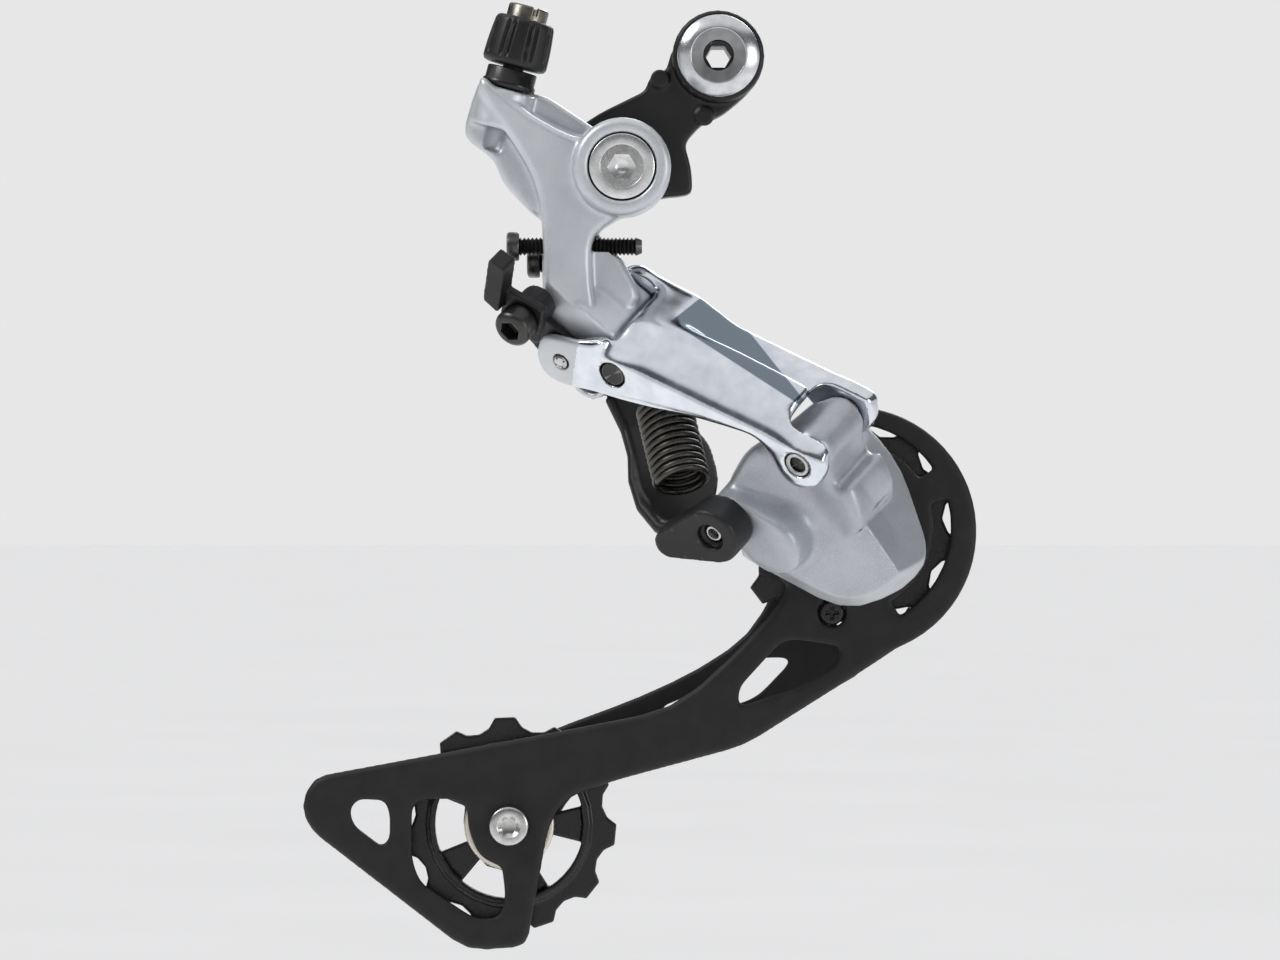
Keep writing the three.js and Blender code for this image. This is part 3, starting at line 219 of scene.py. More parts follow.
def axes_for(axis):
    side = Vector((0, 0, 1)) if abs(axis.z) < 0.9 else Vector((1, 0, 0))
    u = side.cross(axis).normalized()
    return u, axis.cross(u).normalized()


def turned(name, origin, axis, profile, sides=96, wobble=None):
    """Closed turned body. The profile is (radius, height) in mm along the axis, from the axis to the
    axis or closed on itself. wobble(radius, height, angle) may change the radius."""
    u, v = axes_for(axis)
    vertices = []
    rings = []
    for radius, height in profile:
        if radius == 0:
            rings.append([len(vertices)])
            vertices.append(origin + axis * height * MM)
            continue
        ring = []
        for i in range(sides):
            angle = TURN * i / sides
            r = wobble(radius, height, angle) if wobble else radius
            ring.append(len(vertices))
            vertices.append(
                origin + (u * math.cos(angle) + v * math.sin(angle)) * r * MM + axis * height * MM
            )
        rings.append(ring)
    loops = list(zip(rings, rings[1:]))
    if len(rings[0]) > 1:
        loops.append((rings[-1], rings[0]))
    faces = []
    for a, b in loops:
        for i in range(sides):
            j = (i + 1) % sides
            quad = [a[i % len(a)], a[j % len(a)], b[j % len(b)], b[i % len(b)]]
            face = [x for k, x in enumerate(quad) if x not in quad[:k]]
            if len(face) > 2:
                faces.append(face)
    mesh = mesh_from(name, vertices, faces)
    bm = bmesh.new()
    bm.from_mesh(mesh)
    bmesh.ops.recalc_face_normals(bm, faces=bm.faces)
    bm.to_mesh(mesh)
    bm.free()
    return new_object(name, mesh)


def thread(radius, depth, start, pitch, steps):
    """Profile points of a ringed thread, crest and root by turns."""
    return [(radius - (depth if i % 2 else 0.0), start + i * pitch / 2) for i in range(steps)]


def prism(origin, axis, across_flats, start, end, sides=6, twist=0.0):
    """Regular prism used as a cutter."""
    u, v = axes_for(axis)
    radius = across_flats / 2 / math.cos(math.pi / sides)
    vertices = []
    for height in (start, end):
        for i in range(sides):
            angle = TURN * i / sides + twist
            vertices.append(
                origin + (u * math.cos(angle) + v * math.sin(angle)) * radius * MM + axis * height * MM
            )
    faces = [tuple(range(sides))[::-1], tuple(range(sides, 2 * sides))]
    for i in range(sides):
        j = (i + 1) % sides
        faces.append((i, j, sides + j, sides + i))
    return new_object("cutter", mesh_from("cutter", vertices, faces))


SLIVER = 0.02  # mm: shortest edge left after a cut, before its edges are bevelled
WELD = SLIVER / 4  # mm: points of a bevelled piece closer than this are merged
BEVEL_STEPS = 2
BEVEL_ANGLE = math.radians(30)


def clean(piece, distance):
    """Merges points closer than the distance in mm, and drops crumbs cut loose from the body."""
    bm = bmesh.new()
    bm.from_mesh(piece.data)
    bmesh.ops.remove_doubles(bm, verts=bm.verts, dist=distance * MM)
    bmesh.ops.dissolve_degenerate(bm, edges=bm.edges, dist=distance * MM)
    unseen = set(bm.verts)
    islands = []
    while unseen:
        front = [unseen.pop()]
        island = list(front)
        while front:
            vertex = front.pop()
            for edge in vertex.link_edges:
                other = edge.other_vert(vertex)
                if other in unseen:
                    unseen.remove(other)
                    front.append(other)
                    island.append(other)
        islands.append(island)
    largest = max(len(island) for island in islands)
    crumbs = [v for island in islands if len(island) < largest for v in island]
    bmesh.ops.delete(bm, geom=crumbs, context="VERTS")
    bm.to_mesh(piece.data)
    bm.free()


def drill(piece, *cutters):
    for cutter in cutters:
        step = piece.modifiers.new("cut", "BOOLEAN")
        step.operation = "DIFFERENCE"
        step.solver = "EXACT"
        step.object = cutter
        apply_modifiers(piece)
        bpy.data.objects.remove(cutter)


def edge_bevel(piece, width):
    clean(piece, SLIVER)
    step = piece.modifiers.new("edges", "BEVEL")
    step.width = width * MM
    step.segments = BEVEL_STEPS
    step.limit_method = "ANGLE"
    step.angle_limit = BEVEL_ANGLE
    step.use_clamp_overlap = True
    apply_modifiers(piece)
    clean(piece, WELD)


def sharp_shade(piece, angle=35):
    piece.data.shade_smooth()
    piece.data.set_sharp_from_angle(angle=math.radians(angle))


def tube(name, points, radius):
    """Round wire through a list of points, closed by flat ends."""
    sides = 16
    vertices = []
    faces = []
    side = None
    for i, point in enumerate(points):
        ahead = points[min(i + 1, len(points) - 1)]
        behind = points[max(i - 1, 0)]
        heading = (ahead - behind).normalized()
        if side is None:
            side = axes_for(heading)[0]
        side = (side - heading * side.dot(heading)).normalized()
        other = heading.cross(side)
        for k in range(sides):
            angle = TURN * k / sides
            vertices.append(point + (side * math.cos(angle) + other * math.sin(angle)) * radius * MM)
    for i in range(len(points) - 1):
        for k in range(sides):
            j = (k + 1) % sides
            faces.append((i * sides + k, i * sides + j, (i + 1) * sides + j, (i + 1) * sides + k))
    faces.append(tuple(range(sides))[::-1])
    faces.append(tuple(range((len(points) - 1) * sides, len(points) * sides)))
    return new_object(name, mesh_from(name, vertices, faces))


# ------------------------------------------------------------------ materials


def material(name):
    made = bpy.data.materials.new(name)
    made.use_nodes = True
    nodes = made.node_tree.nodes
    return made, nodes, made.node_tree.links, nodes["Principled BSDF"]


def noise(nodes, links, scale, detail=3.0, rough=0.5):
    """Noise in the object's own millimetres: scale is the number of cells per mm."""
    place = nodes.new("ShaderNodeTexCoord")
    made = nodes.new("ShaderNodeTexNoise")
    made.inputs["Scale"].default_value = scale / MM
    made.inputs["Detail"].default_value = detail
    made.inputs["Roughness"].default_value = rough
    links.new(place.outputs["Object"], made.inputs["Vector"])
    return made.outputs["Fac"]


def ramp(nodes, links, source, stops):
    made = nodes.new("ShaderNodeValToRGB")
    elements = made.color_ramp.elements
    while len(elements) < len(stops):
        elements.new(0.5)
    for element, (place, colour) in zip(elements, stops):
        element.position = place
        element.color = (*colour, 1)
    links.new(source, made.inputs["Fac"])
    return made.outputs["Color"]


def spread_value(nodes, links, source, low, high):
    made = nodes.new("ShaderNodeMapRange")
    made.inputs["From Min"].default_value = 0.3
    made.inputs["From Max"].default_value = 0.7
    made.inputs["To Min"].default_value = low
    made.inputs["To Max"].default_value = high
    links.new(source, made.inputs["Value"])
    return made.outputs["Result"]


def bump(nodes, links, shader, height, distance, strength):
    made = nodes.new("ShaderNodeBump")
    made.inputs["Strength"].default_value = strength
    made.inputs["Distance"].default_value = distance * MM
    links.new(height, made.inputs["Height"])
    links.new(made.outputs["Normal"], shader.inputs["Normal"])


def mix_colour(nodes, links, factor, first, second):
    made = nodes.new("ShaderNodeMix")
    made.data_type = "RGBA"
    links.new(factor, made.inputs["Factor"])
    for socket, colour in (("A", first), ("B", second)):
        target = [s for s in made.inputs if s.name == socket and s.type == "RGBA"][0]
        if isinstance(colour, tuple):
            target.default_value = (*colour, 1)
        else:
            links.new(colour, target)
    return [s for s in made.outputs if s.type == "RGBA"][0]


def edge_mask(nodes, links, low, high):
    """White along outward edges, from the surface's own curvature."""
    shape = nodes.new("ShaderNodeNewGeometry")
    made = nodes.new("ShaderNodeMapRange")
    made.inputs["From Min"].default_value = low
    made.inputs["From Max"].default_value = high
    links.new(shape.outputs["Pointiness"], made.inputs["Value"])
    return made.outputs["Result"]


def painted_casting(name, dark, light, sparkle, metallic=0.55, roughness=(0.36, 0.5)):
    """Satin metallic surface with fine flakes over a smooth casting."""
    made, nodes, links, shader = material(name)
    flakes = noise(nodes, links, 7.0, 2.0, 0.7)
    clouds = noise(nodes, links, 0.12, 3.0)
    base = ramp(nodes, links, clouds, [(0.35, dark), (0.65, light)])
    mask = ramp(nodes, links, flakes, [(0.52, (0, 0, 0)), (0.72, (1, 1, 1))])
    links.new(mix_colour(nodes, links, mask, base, sparkle), shader.inputs["Base Color"])
    links.new(spread_value(nodes, links, flakes, *roughness), shader.inputs["Roughness"])
    shader.inputs["Metallic"].default_value = metallic
    shader.inputs["Coat Weight"].default_value = 0.25
    shader.inputs["Coat Roughness"].default_value = 0.22
    bump(nodes, links, shader, flakes, 0.02, 0.35)
    return made


def inside_outline(nodes, links, corners, fade=0.25):
    """White inside a convex outline given in X and Z, in mm, its corners clockwise."""
    place = nodes.new("ShaderNodeTexCoord")
    nearest = None
    for (ax, az), (bx, bz) in zip(corners, corners[1:] + corners[:1]):
        inward = Vector((bz - az, 0, ax - bx)).normalized()
        depth = nodes.new("ShaderNodeVectorMath")
        depth.operation = "DOT_PRODUCT"
        depth.inputs[1].default_value = inward
        links.new(place.outputs["Object"], depth.inputs[0])
        start = inward.dot(Vector((ax, 0, az))) * MM
        edge = nodes.new("ShaderNodeMapRange")
        edge.inputs["From Min"].default_value = start
        edge.inputs["From Max"].default_value = start + fade * MM
        links.new(depth.outputs["Value"], edge.inputs["Value"])
        if nearest is None:
            nearest = edge.outputs["Result"]
            continue
        both = nodes.new("ShaderNodeMath")
        both.operation = "MINIMUM"
        links.new(nearest, both.inputs[0])
        links.new(edge.outputs["Result"], both.inputs[1])
        nearest = both.outputs["Value"]
    return nearest


def polished_metal(name, dark, light, roughness, reflection_facet=None, reflection_colour=(0, 0, 0)):
    """Buffed metal: soft waves, hazy patches and a fine grain. Inside an outline the colour may be
    darker, as a painted dark reflection.
    """
    made, nodes, links, shader = material(name)
    haze = noise(nodes, links, 0.25, 4.0)
    grain = noise(nodes, links, 5.0, 4.0, 0.7)
    waves = noise(nodes, links, 0.09, 1.0)
    base = ramp(nodes, links, haze, [(0.3, dark), (0.7, light)])
    # Painted reflection: inside the outline the polished metal takes a darker colour for the dark
    # reflection of its facet.
    if reflection_facet:
        mask = inside_outline(nodes, links, reflection_facet)
        base = mix_colour(nodes, links, mask, base, reflection_colour)
    links.new(base, shader.inputs["Base Color"])
    links.new(spread_value(nodes, links, haze, *roughness), shader.inputs["Roughness"])
    shader.inputs["Metallic"].default_value = 1.0
    fine = nodes.new("ShaderNodeBump")
    fine.inputs["Strength"].default_value = 0.12
    fine.inputs["Distance"].default_value = 0.01 * MM
    links.new(grain, fine.inputs["Height"])
    broad = nodes.new("ShaderNodeBump")
    broad.inputs["Strength"].default_value = 0.25
    broad.inputs["Distance"].default_value = 0.5 * MM
    links.new(waves, broad.inputs["Height"])
    links.new(fine.outputs["Normal"], broad.inputs["Normal"])
    links.new(broad.outputs["Normal"], shader.inputs["Normal"])
    return made


def turned_metal(name, origin, axis, dark, light, roughness, pitch=0.12):
    """Machined metal with fine circular tool marks round an axis."""
    made, nodes, links, shader = material(name)
    place = nodes.new("ShaderNodeTexCoord")
    offset = nodes.new("ShaderNodeVectorMath")
    offset.operation = "SUBTRACT"
    offset.inputs[1].default_value = origin
    links.new(place.outputs["Object"], offset.inputs[0])
    across = nodes.new("ShaderNodeVectorMath")
    across.operation = "CROSS_PRODUCT"
    across.inputs[1].default_value = axis
    links.new(offset.outputs["Vector"], across.inputs[0])
    radius = nodes.new("ShaderNodeVectorMath")
    radius.operation = "LENGTH"
    links.new(across.outputs["Vector"], radius.inputs[0])
    wave = nodes.new("ShaderNodeMath")
    wave.operation = "MULTIPLY"
    wave.inputs[1].default_value = TURN / (pitch * MM)
    links.new(radius.outputs["Value"], wave.inputs[0])
    sine = nodes.new("ShaderNodeMath")
    sine.operation = "SINE"
    links.new(wave.outputs["Value"], sine.inputs[0])
    patches = noise(nodes, links, 0.6, 4.0)
    grain = noise(nodes, links, 6.0, 3.0)
    links.new(ramp(nodes, links, patches, [(0.3, dark), (0.7, light)]), shader.inputs["Base Color"])
    links.new(spread_value(nodes, links, grain, *roughness), shader.inputs["Roughness"])
    shader.inputs["Metallic"].default_value = 1.0
    bump(nodes, links, shader, sine.outputs["Value"], 0.006, 0.25)
    return made


def dark_finish(name, colour, worn, roughness, metallic, scale=2.5, depth=0.02, specular=0.5):
    """Anodised, painted, moulded or steel surface that is lighter along its edges."""
    made, nodes, links, shader = material(name)
    grain = noise(nodes, links, scale, 4.0, 0.6)
    dust = noise(nodes, links, 0.2, 4.0)
    lighter = tuple(c * 1.5 + 0.002 for c in colour)
    base = ramp(nodes, links, dust, [(0.35, colour), (0.75, lighter)])
    edges = edge_mask(nodes, links, 0.52, 0.62)
    links.new(mix_colour(nodes, links, edges, base, worn), shader.inputs["Base Color"])
    links.new(spread_value(nodes, links, grain, *roughness), shader.inputs["Roughness"])
    shader.inputs["Metallic"].default_value = metallic
    shader.inputs["Specular IOR Level"].default_value = specular
    bump(nodes, links, shader, grain, depth, 0.4)
    return made


SILVER = painted_casting("silver_paint", (0.46, 0.48, 0.51), (0.53, 0.55, 0.58), (0.72, 0.74, 0.78))
# Painted shade: a darker copy of the silver paint, used for the lower body.
SHADED_SILVER = painted_casting("silver_paint_shaded", (0.33, 0.345, 0.375), (0.39, 0.405, 0.44), (0.58, 0.60, 0.64))
LINK_REFLECTION_FACET = [(-9.9, -53.8), (-0.8, -46.4), (19.6, -73.2)]  # X and Z of the upper facet painted dark as a reflection, in mm
POLISHED = polished_metal(
    "polished_alloy", (0.54, 0.58, 0.63), (0.70, 0.73, 0.77), (0.12, 0.22),
    LINK_REFLECTION_FACET, (0.17, 0.205, 0.245),
)
LOBE = painted_casting("blasted_alloy", (0.46, 0.48, 0.50), (0.52, 0.54, 0.56), (0.6, 0.62, 0.64))
BLACK = dark_finish(
    "black_alloy", (0.006, 0.006, 0.0065), (0.03, 0.03, 0.032), (0.36, 0.48), 0.0, specular=0.35
)
CAGE = dark_finish(
    "black_cage", (0.008, 0.008, 0.008), (0.02, 0.02, 0.021), (0.5, 0.62), 0.0, 5.0, 0.03, 0.3
)
NYLON = dark_finish(
    "black_nylon", (0.004, 0.004, 0.004), (0.012, 0.012, 0.012), (0.22, 0.34), 0.0, 1.2, 0.02, 0.4
)
RUBBER = dark_finish("black_seal", (0.012, 0.012, 0.012), (0.02, 0.02, 0.02), (0.6, 0.8), 0.0, 3.0, 0.02)
DARK_STEEL = dark_finish("dark_steel", (0.035, 0.034, 0.033), (0.16, 0.155, 0.15), (0.25, 0.42), 0.85)
SPRING_STEEL = dark_finish(
    "spring_steel", (0.05, 0.047, 0.042), (0.12, 0.115, 0.105), (0.22, 0.4), 0.9, 1.2
)
STEEL = polished_metal("plain_steel", (0.42, 0.42, 0.42), (0.58, 0.58, 0.58), (0.22, 0.36))


# ------------------------------------------------------------------ mounting link and its bolts


def hanger_bolt():
    node = "hanger_bolt"
    origin = Vector((0, 0, 0))
    low, high, reach = spread(node, origin, INBOARD)
    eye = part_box("b_link_plate")[0].y / MM
    flat = 5.6
    shank = 6.3
    crest = 4.85
    profile = [
        (0, low + 0.1), (flat - 0.15, low + 0.1), (flat, low), (flat + 0.25, low + 0.05),
        (reach - 0.35, low + 1.0), (reach - 0.05, low + 1.35), (reach, low + 1.7),
        (reach, eye - 0.45),
        (reach - 0.15, eye - 0.3), (shank, eye - 0.3), (shank, -0.05), (crest, 0.0),
    ]
    pitch = 1.0
    turns = int(high - 1.2)
    profile += thread(crest, 0.55, 0.4, pitch, turns * 2)
    profile += [(crest - 0.3, high - 0.8), (crest - 0.8, high), (0, high)]
    bolt = turned("look_hanger_bolt", origin, INBOARD, profile)
    counterbore = 6.2
    hexagon = 4.6
    drill(
        bolt,
        prism(origin, INBOARD, counterbore, low - 1, low + 3.6, 64),
        prism(origin, INBOARD, hexagon, low - 1, high + 1),
    )
    edge_bevel(bolt, 0.08)
    face = turned_metal(
        "faced_steel", origin, INBOARD, (0.50, 0.51, 0.53), (0.62, 0.63, 0.65), (0.16, 0.30)
    )
    stand_for(bolt, node, face)
    flat_face = turned_metal(
        "flat_steel", origin, INBOARD, (0.26, 0.265, 0.27), (0.34, 0.345, 0.35), (0.3, 0.42)
    )
    # Painted shade: the counterbore's walls and floor take dark steel for the shade inside the socket.
    bolt.data.materials.append(DARK_STEEL)
    bolt.data.materials.append(flat_face)
    for polygon in bolt.data.polygons:
        offset = polygon.center - origin
        radius = math.hypot(offset.x, offset.z) / MM
        if radius < counterbore / 2 + 0.1 and offset.y / MM > low + 0.25:
            polygon.material_index = 1
        elif radius < flat - 0.1 and offset.y / MM < low + 0.3:
            polygon.material_index = 2
    sharp_shade(bolt)


def b_axle():
    node = "b_axle"
    origin = centre_of(node)
    origin.y = 0
    low, high, reach = spread(node, origin, INBOARD)
    shank = 4.95
    mouth = 4.3
    axle = turned("look_b_axle", origin, INBOARD, [
        (0, low + 3.9), (1.2, low + 3.5), (2.45, low + 2.8), (2.75, low + 2.6), (3.3, low + 1.5),
        (mouth - 0.35, low + 0.9), (mouth, low + 0.12), (mouth + 0.1, low), (reach - 0.3, low),
        (reach - 0.08, low + 0.1), (reach, low + 0.35), (reach, low + 2.2), (shank, low + 2.3),
        (shank, high - 0.4), (shank - 0.4, high), (0, high),
    ])
    drill(axle, prism(origin, INBOARD, 5.0, low + 0.9, low + 3.4))
    edge_bevel(axle, 0.06)
    look = turned_metal(
        "axle_steel", origin, INBOARD, (0.60, 0.60, 0.60), (0.76, 0.76, 0.76), (0.24, 0.36), 0.3
    )
    stand_for(axle, node, look)
    sharp_shade(axle, 40)


def retaining_clip():
    cast("bolt_retaining_clip", STEEL, 0.14, 2)


cast("b_link_plate", BLACK, 0.3, 6)
hanger_bolt()
b_axle()
retaining_clip()
cast("b_seal_ring", RUBBER, 0.12, 2)
frame["nodes"]["b_bush"].data.materials.clear()
frame["nodes"]["b_bush"].data.materials.append(RUBBER)

# ------------------------------------------------------------------ upper body

cast("b_knuckle", SILVER, 0.4, 14)


def screw(node, pitch):
    """Cross-recessed screw with a ringed thread, its head to the rear."""
    origin = centre_of(node)
    low, high, head_radius = spread(node, origin, FRONT)
    head = 2.5
    shank = 1.85
    profile = [
        (0, low), (head_radius - 0.7, low), (head_radius - 0.15, low + 0.2),
        (head_radius, low + 0.6), (head_radius, low + head - 0.3), (head_radius - 0.2, low + head),
        (shank - 0.3, low + head),
    ]
    steps = int((high - low - head - 0.9) / pitch * 2)
    profile += thread(shank, 0.45, low + head + 0.3, pitch, steps)
    profile += [(shank - 0.5, high), (0, high)]
    piece = turned("look_" + node, origin, FRONT, profile, 48)
    arm_length = 3.2
    arm_width = 0.85
    for tall, wide in ((arm_length, arm_width), (arm_width, arm_length)):
        cutter = prism(origin, FRONT, 1.0, low - 1, low + 1.3, 4, math.pi / 4)
        scale = Matrix.Diagonal((1, wide, tall, 1))
        cutter.data.transform(Matrix.Translation(origin) @ scale @ Matrix.Translation(-origin))
        drill(piece, cutter)
    stand_for(piece, node, DARK_STEEL)
    sharp_shade(piece)


screw("b_tension_screw", 0.8)
screw("high_limit_screw", 0.7)
screw("low_limit_screw", 0.7)


def pin(node, joint, origin, radius):
    """Plain pivot pin with a bevelled face."""
    axis = -joint_axis(joint)
    low, high = spread(node, origin, axis)[:2]
    piece = turned("look_" + node, origin, axis, [
        (0, low), (radius - 0.25, low), (radius, low + 0.25), (radius, high - 0.3),
        (radius - 0.28, high - 0.02), (radius - 0.55, high), (radius * 0.55, high - 0.12),
        (0, high - 0.16),
    ])
    stand_for(piece, node, DARK_STEEL)
    return piece


def ringed_pin(node, joint, origin, radius, core):
    """Pivot pin whose bright outer ring stands round a sunken core painted dark as shade in the hole."""
    axis = -joint_axis(joint)
    low, high = spread(node, origin, axis)[:2]
    piece = turned("look_" + node, origin, axis, [
        (0, low), (radius - 0.25, low), (radius, low + 0.25), (radius, high - 0.2),
        (radius - 0.15, high), (core + 0.2, high), (core, high - 0.2), (core, high - 0.7),
        (core * 0.5, high - 0.62), (0, high - 0.6),
    ])
    stand_for(piece, node, STEEL)
    # Painted shade: the sunken core takes dark steel for the shade in the hole.
    piece.data.materials.append(DARK_STEEL)
    for polygon in piece.data.polygons:
        offset = polygon.center - origin
        height = offset.dot(axis)
        if (offset - axis * height).length < (core + 0.02) * MM and height > (high - 1) * MM:
            polygon.material_index = 1
    sharp_shade(piece, 40)


PIN_B = joint_place("p_knuckle_pivot")
PIN_C = joint_place("inner_link_pivot")
pin("link_pin_a", "outer_link_pivot", PIN_A, 2.6)
ringed_pin("link_pin_b", "outer_link_pivot", PIN_B, 2.6, 1.75)
pin("link_pin_c", "outer_link_pivot", PIN_C, 2.6)

# ------------------------------------------------------------------ barrel adjuster

BARREL_FOOT = joint_place("barrel_turn")
BARREL_UP = joint_axis("barrel_turn")


def barrel():
    low, high = spread("barrel_adjuster", BARREL_FOOT, BARREL_UP)[:2]
    cap_start = 5.4
    bore = 4.35
    floor = high - 6.2
    grooves = 8

    def ribbed(radius, height, angle):
        if radius < bore + 0.6 or height < cap_start + 1.2 or height > high - 0.7:
            return radius
        part = (angle / TURN * grooves) % 1.0
        narrow = min(abs(part - 0.36), abs(part - 0.64)) * TURN * radius / grooves
        fade = min(1.0, (height - cap_start - 1.2) / 0.8, (high - 0.7 - height) / 0.8)
        return radius - 0.5 * max(0.0, 1 - (narrow / 0.38) ** 2) * fade

    outer = []
    steps = 14
    for i in range(steps + 1):
        part = i / steps
        height = cap_start + 0.9 + (high - 0.9 - cap_start - 0.9) * part
        outer.append((6.55 - 0.55 * part * part, height))
    profile = [
        (1.0, low), (2.0, low + 0.1), (2.15, low + 0.4), (2.15, cap_start), (5.5, cap_start),
        (6.2, cap_start + 0.25), *outer, (5.75, high - 0.35), (5.3, high - 0.05), (bore + 0.3, high),
        (bore, high - 0.3), (bore, floor), (1.0, floor),
    ]
    piece = turned("look_barrel_adjuster", BARREL_FOOT, BARREL_UP, profile, 192, ribbed)
    stand_for(piece, "barrel_adjuster", BLACK)
    sharp_shade(piece, 50)


def ferrule():
    node = "barrel_ferrule"
    low, high, reach = spread(node, BARREL_FOOT, BARREL_UP)
    socket = 3.1
    floor = low + 2
    piece = turned("look_barrel_ferrule", BARREL_FOOT, BARREL_UP, [
        (1.0, low), (reach, low), (reach, high - 0.6), (reach - 0.15, high - 0.3),
        (reach - 0.4, high - 0.15), (socket + 0.2, high - 0.15), (socket, high - 0.4),
        (socket, floor), (1.0, floor),
    ])
    width = 1.1
    slot_depth = 1.9
    for turn in (0.4, 0.4 + math.pi / 2):
        cutter = prism(BARREL_FOOT, BARREL_UP, width, high - slot_depth, high + 2, 4, math.pi / 4)
        u = axes_for(BARREL_UP)[0]
        stretch = Matrix.Scale(12, 4, u)
        spin = Matrix.Rotation(turn, 4, BARREL_UP)
        place = Matrix.Translation(BARREL_FOOT)
        cutter.data.transform(place @ spin @ stretch @ place.inverted())
        drill(piece, cutter)
    edge_bevel(piece, 0.1)
    look = dark_finish("ferrule_metal", (0.10, 0.095, 0.08), (0.42, 0.40, 0.34), (0.24, 0.4), 0.95, 1.0)
    stand_for(piece, node, look)
    sharp_shade(piece, 40)


def collar():
    node = "barrel_collar"
    low, high, reach = spread(node, BARREL_FOOT, BARREL_UP)
    piece = turned("look_barrel_collar", BARREL_FOOT, BARREL_UP, [
        (2.45, low), (reach - 0.3, low), (reach, low + 0.35), (reach, low + 1.2),
        (reach - 0.35, low + 1.5), (reach - 0.35, high - 0.25), (reach - 0.5, high - 0.05),
        (2.7, high - 0.05), (2.45, high - 0.3),
    ])
    stand_for(piece, node, NYLON)


barrel()
ferrule()
collar()

# ------------------------------------------------------------------ links

LOBE_ALONG = -8.4  # the matt lobe lies further back along the link than this
LOBE_DEPTH = 3.2
SCULPT_FADE = 4.0  # mm over which the sculpting of a casting rises from none to full
LINK_EYE = 3.4  # radius kept crisp round each pivot of the outer link


def outer_link():
    """Polished link whose rear lobe has a matt face."""
    piece = cast("outer_link", POLISHED, 0.33, 5)
    ends = (PIN_A, PIN_B, centre_of("cable_arm_pin"))
    sculpt(piece, 200, lambda point: clear_of(point, ends, PIN_OUT, LINK_EYE, SCULPT_FADE))
    piece.data.shade_smooth()
    piece.data.materials.append(LOBE)
    front = link_point(0, 0, 0)
    for polygon in piece.data.polygons:
        offset = polygon.center - front
        if offset.dot(ALONG) < LOBE_ALONG * MM and offset.dot(PIN_OUT) > -LOBE_DEPTH * MM:
            polygon.material_index = 1


outer_link()
clean(cast("cable_arm", BLACK, 0.25, 4), WELD)
cast("cable_clamp_plate", BLACK, 0.22, 3)
cast("inner_link", BLACK, 0.33, 10)


def arm_pin():
    node = "cable_arm_pin"
    origin = centre_of(node)
    piece = pin(node, "outer_link_pivot", origin, 1.5)
    high = spread(node, origin, PIN_OUT)[1]
    stake_radius = 1.13
    stake_width = 0.42
    stake_depth = 0.45
    stake_twist = 0.3
    for quarter in range(4):
        angle = TURN * (quarter + 0.5) / 4
        place = origin + (ALONG * math.cos(angle) + OVER * math.sin(angle)) * stake_radius * MM
        start = high - stake_depth
        drill(piece, prism(place, PIN_OUT, stake_width, start, high + 1, 4, angle + stake_twist))
    piece.data.materials[0] = STEEL
    sharp_shade(piece, 40)


def clamp_bolt():
    node = "cable_clamp_bolt"
    origin = joint_place("clamp_bolt_turn")
    axis = joint_axis("clamp_bolt_turn")
    low, high, reach = spread(node, origin, axis)
    shank = 2.1
    head = high - 4.4
    piece = turned("look_cable_clamp_bolt", origin, axis, [
        (0, low), (shank - 0.3, low), (shank, low + 0.3), (shank, head), (reach - 0.2, head),
        (reach, head + 0.25), (reach, high - 1.1), (reach - 0.15, high - 0.7),
        (reach - 0.7, high - 0.15), (reach - 1.1, high), (0, high),
    ], 64)
    drill(piece, prism(origin, axis, 3.9, high - 2.8, high + 1))
    edge_bevel(piece, 0.08)
    stand_for(piece, node, DARK_STEEL)
    sharp_shade(piece, 40)


def pin_d():
    """Hollow rivet in the counterbore of the inner link, with a bright rolled rim."""
    node = "link_pin_d"
    origin = centre_of(node)
    axis = PIN_OUT
    low, high = spread(node, origin, axis)[:2]
    radius = 1.8
    bore = 1.1
    piece = turned("look_link_pin_d", origin, axis, [
        (0, low), (radius - 0.2, low), (radius, low + 0.2), (radius, high - 0.35),
        (radius - 0.12, high - 0.1), (radius - 0.35, high), (bore + 0.15, high - 0.05),
        (bore, high - 0.3), (bore, high - 2.8), (0, high - 3),
    ], 64)
    stand_for(piece, node, STEEL)
    sharp_shade(piece, 40)


arm_pin()
clamp_bolt()
pin_d()


def spring_points(start, end, radius, turns):
    """Centre line of a coil whose first and last turns lie flat against their seats."""
    per_turn = 36
    dead_turns = 0.75
    axis = end - start
    unit = axis.normalized()
    u, v = axes_for(unit)
    points = []
    steps = int(turns * per_turn)
    closed = 0.055  # share of the length taken up at each seat
    for i in range(steps + 1):
        turn = i / per_turn
        live = min(max(turn - dead_turns, 0.0), turns - 2 * dead_turns) / (turns - 2 * dead_turns)
        part = closed * min(turn / dead_turns, 1.0) + (1 - 2 * closed) * live
        part += closed * min(max(turn - (turns - dead_turns), 0.0) / dead_turns, 1.0)
        angle = TURN * turn
        points.append(start + axis * part + (u * math.cos(angle) + v * math.sin(angle)) * radius * MM)
    return points


def return_spring():
    wire = 0.66
    radius = 5.2
    turns = 11.5
    start = link_point(19.7, -16.9, 1.5)
    end = link_point(7.5, -12.4, -11)
    piece = tube("look_return_spring", spring_points(start, end, radius, turns), wire)
    stand_for(piece, "return_spring", SPRING_STEEL)


def cage_spring():
    node = "p_spring"
    low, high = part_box(node)
    wire = 1.0
    turns = 3.4
    origin = (low + high) / 2
    radius = (high.x - low.x) / 2 / MM - wire - 0.15
    start = Vector((origin.x, low.y + wire * MM, origin.z))
    end = Vector((origin.x, high.y - wire * MM, origin.z))
    piece = tube("look_p_spring", spring_points(start, end, radius, turns), wire)
    stand_for(piece, node, SPRING_STEEL)


return_spring()
cage_spring()

# ------------------------------------------------------------------ lower body

P_CENTRE = joint_place("cage_pivot")
D_PLACE = centre_of("link_pin_d")

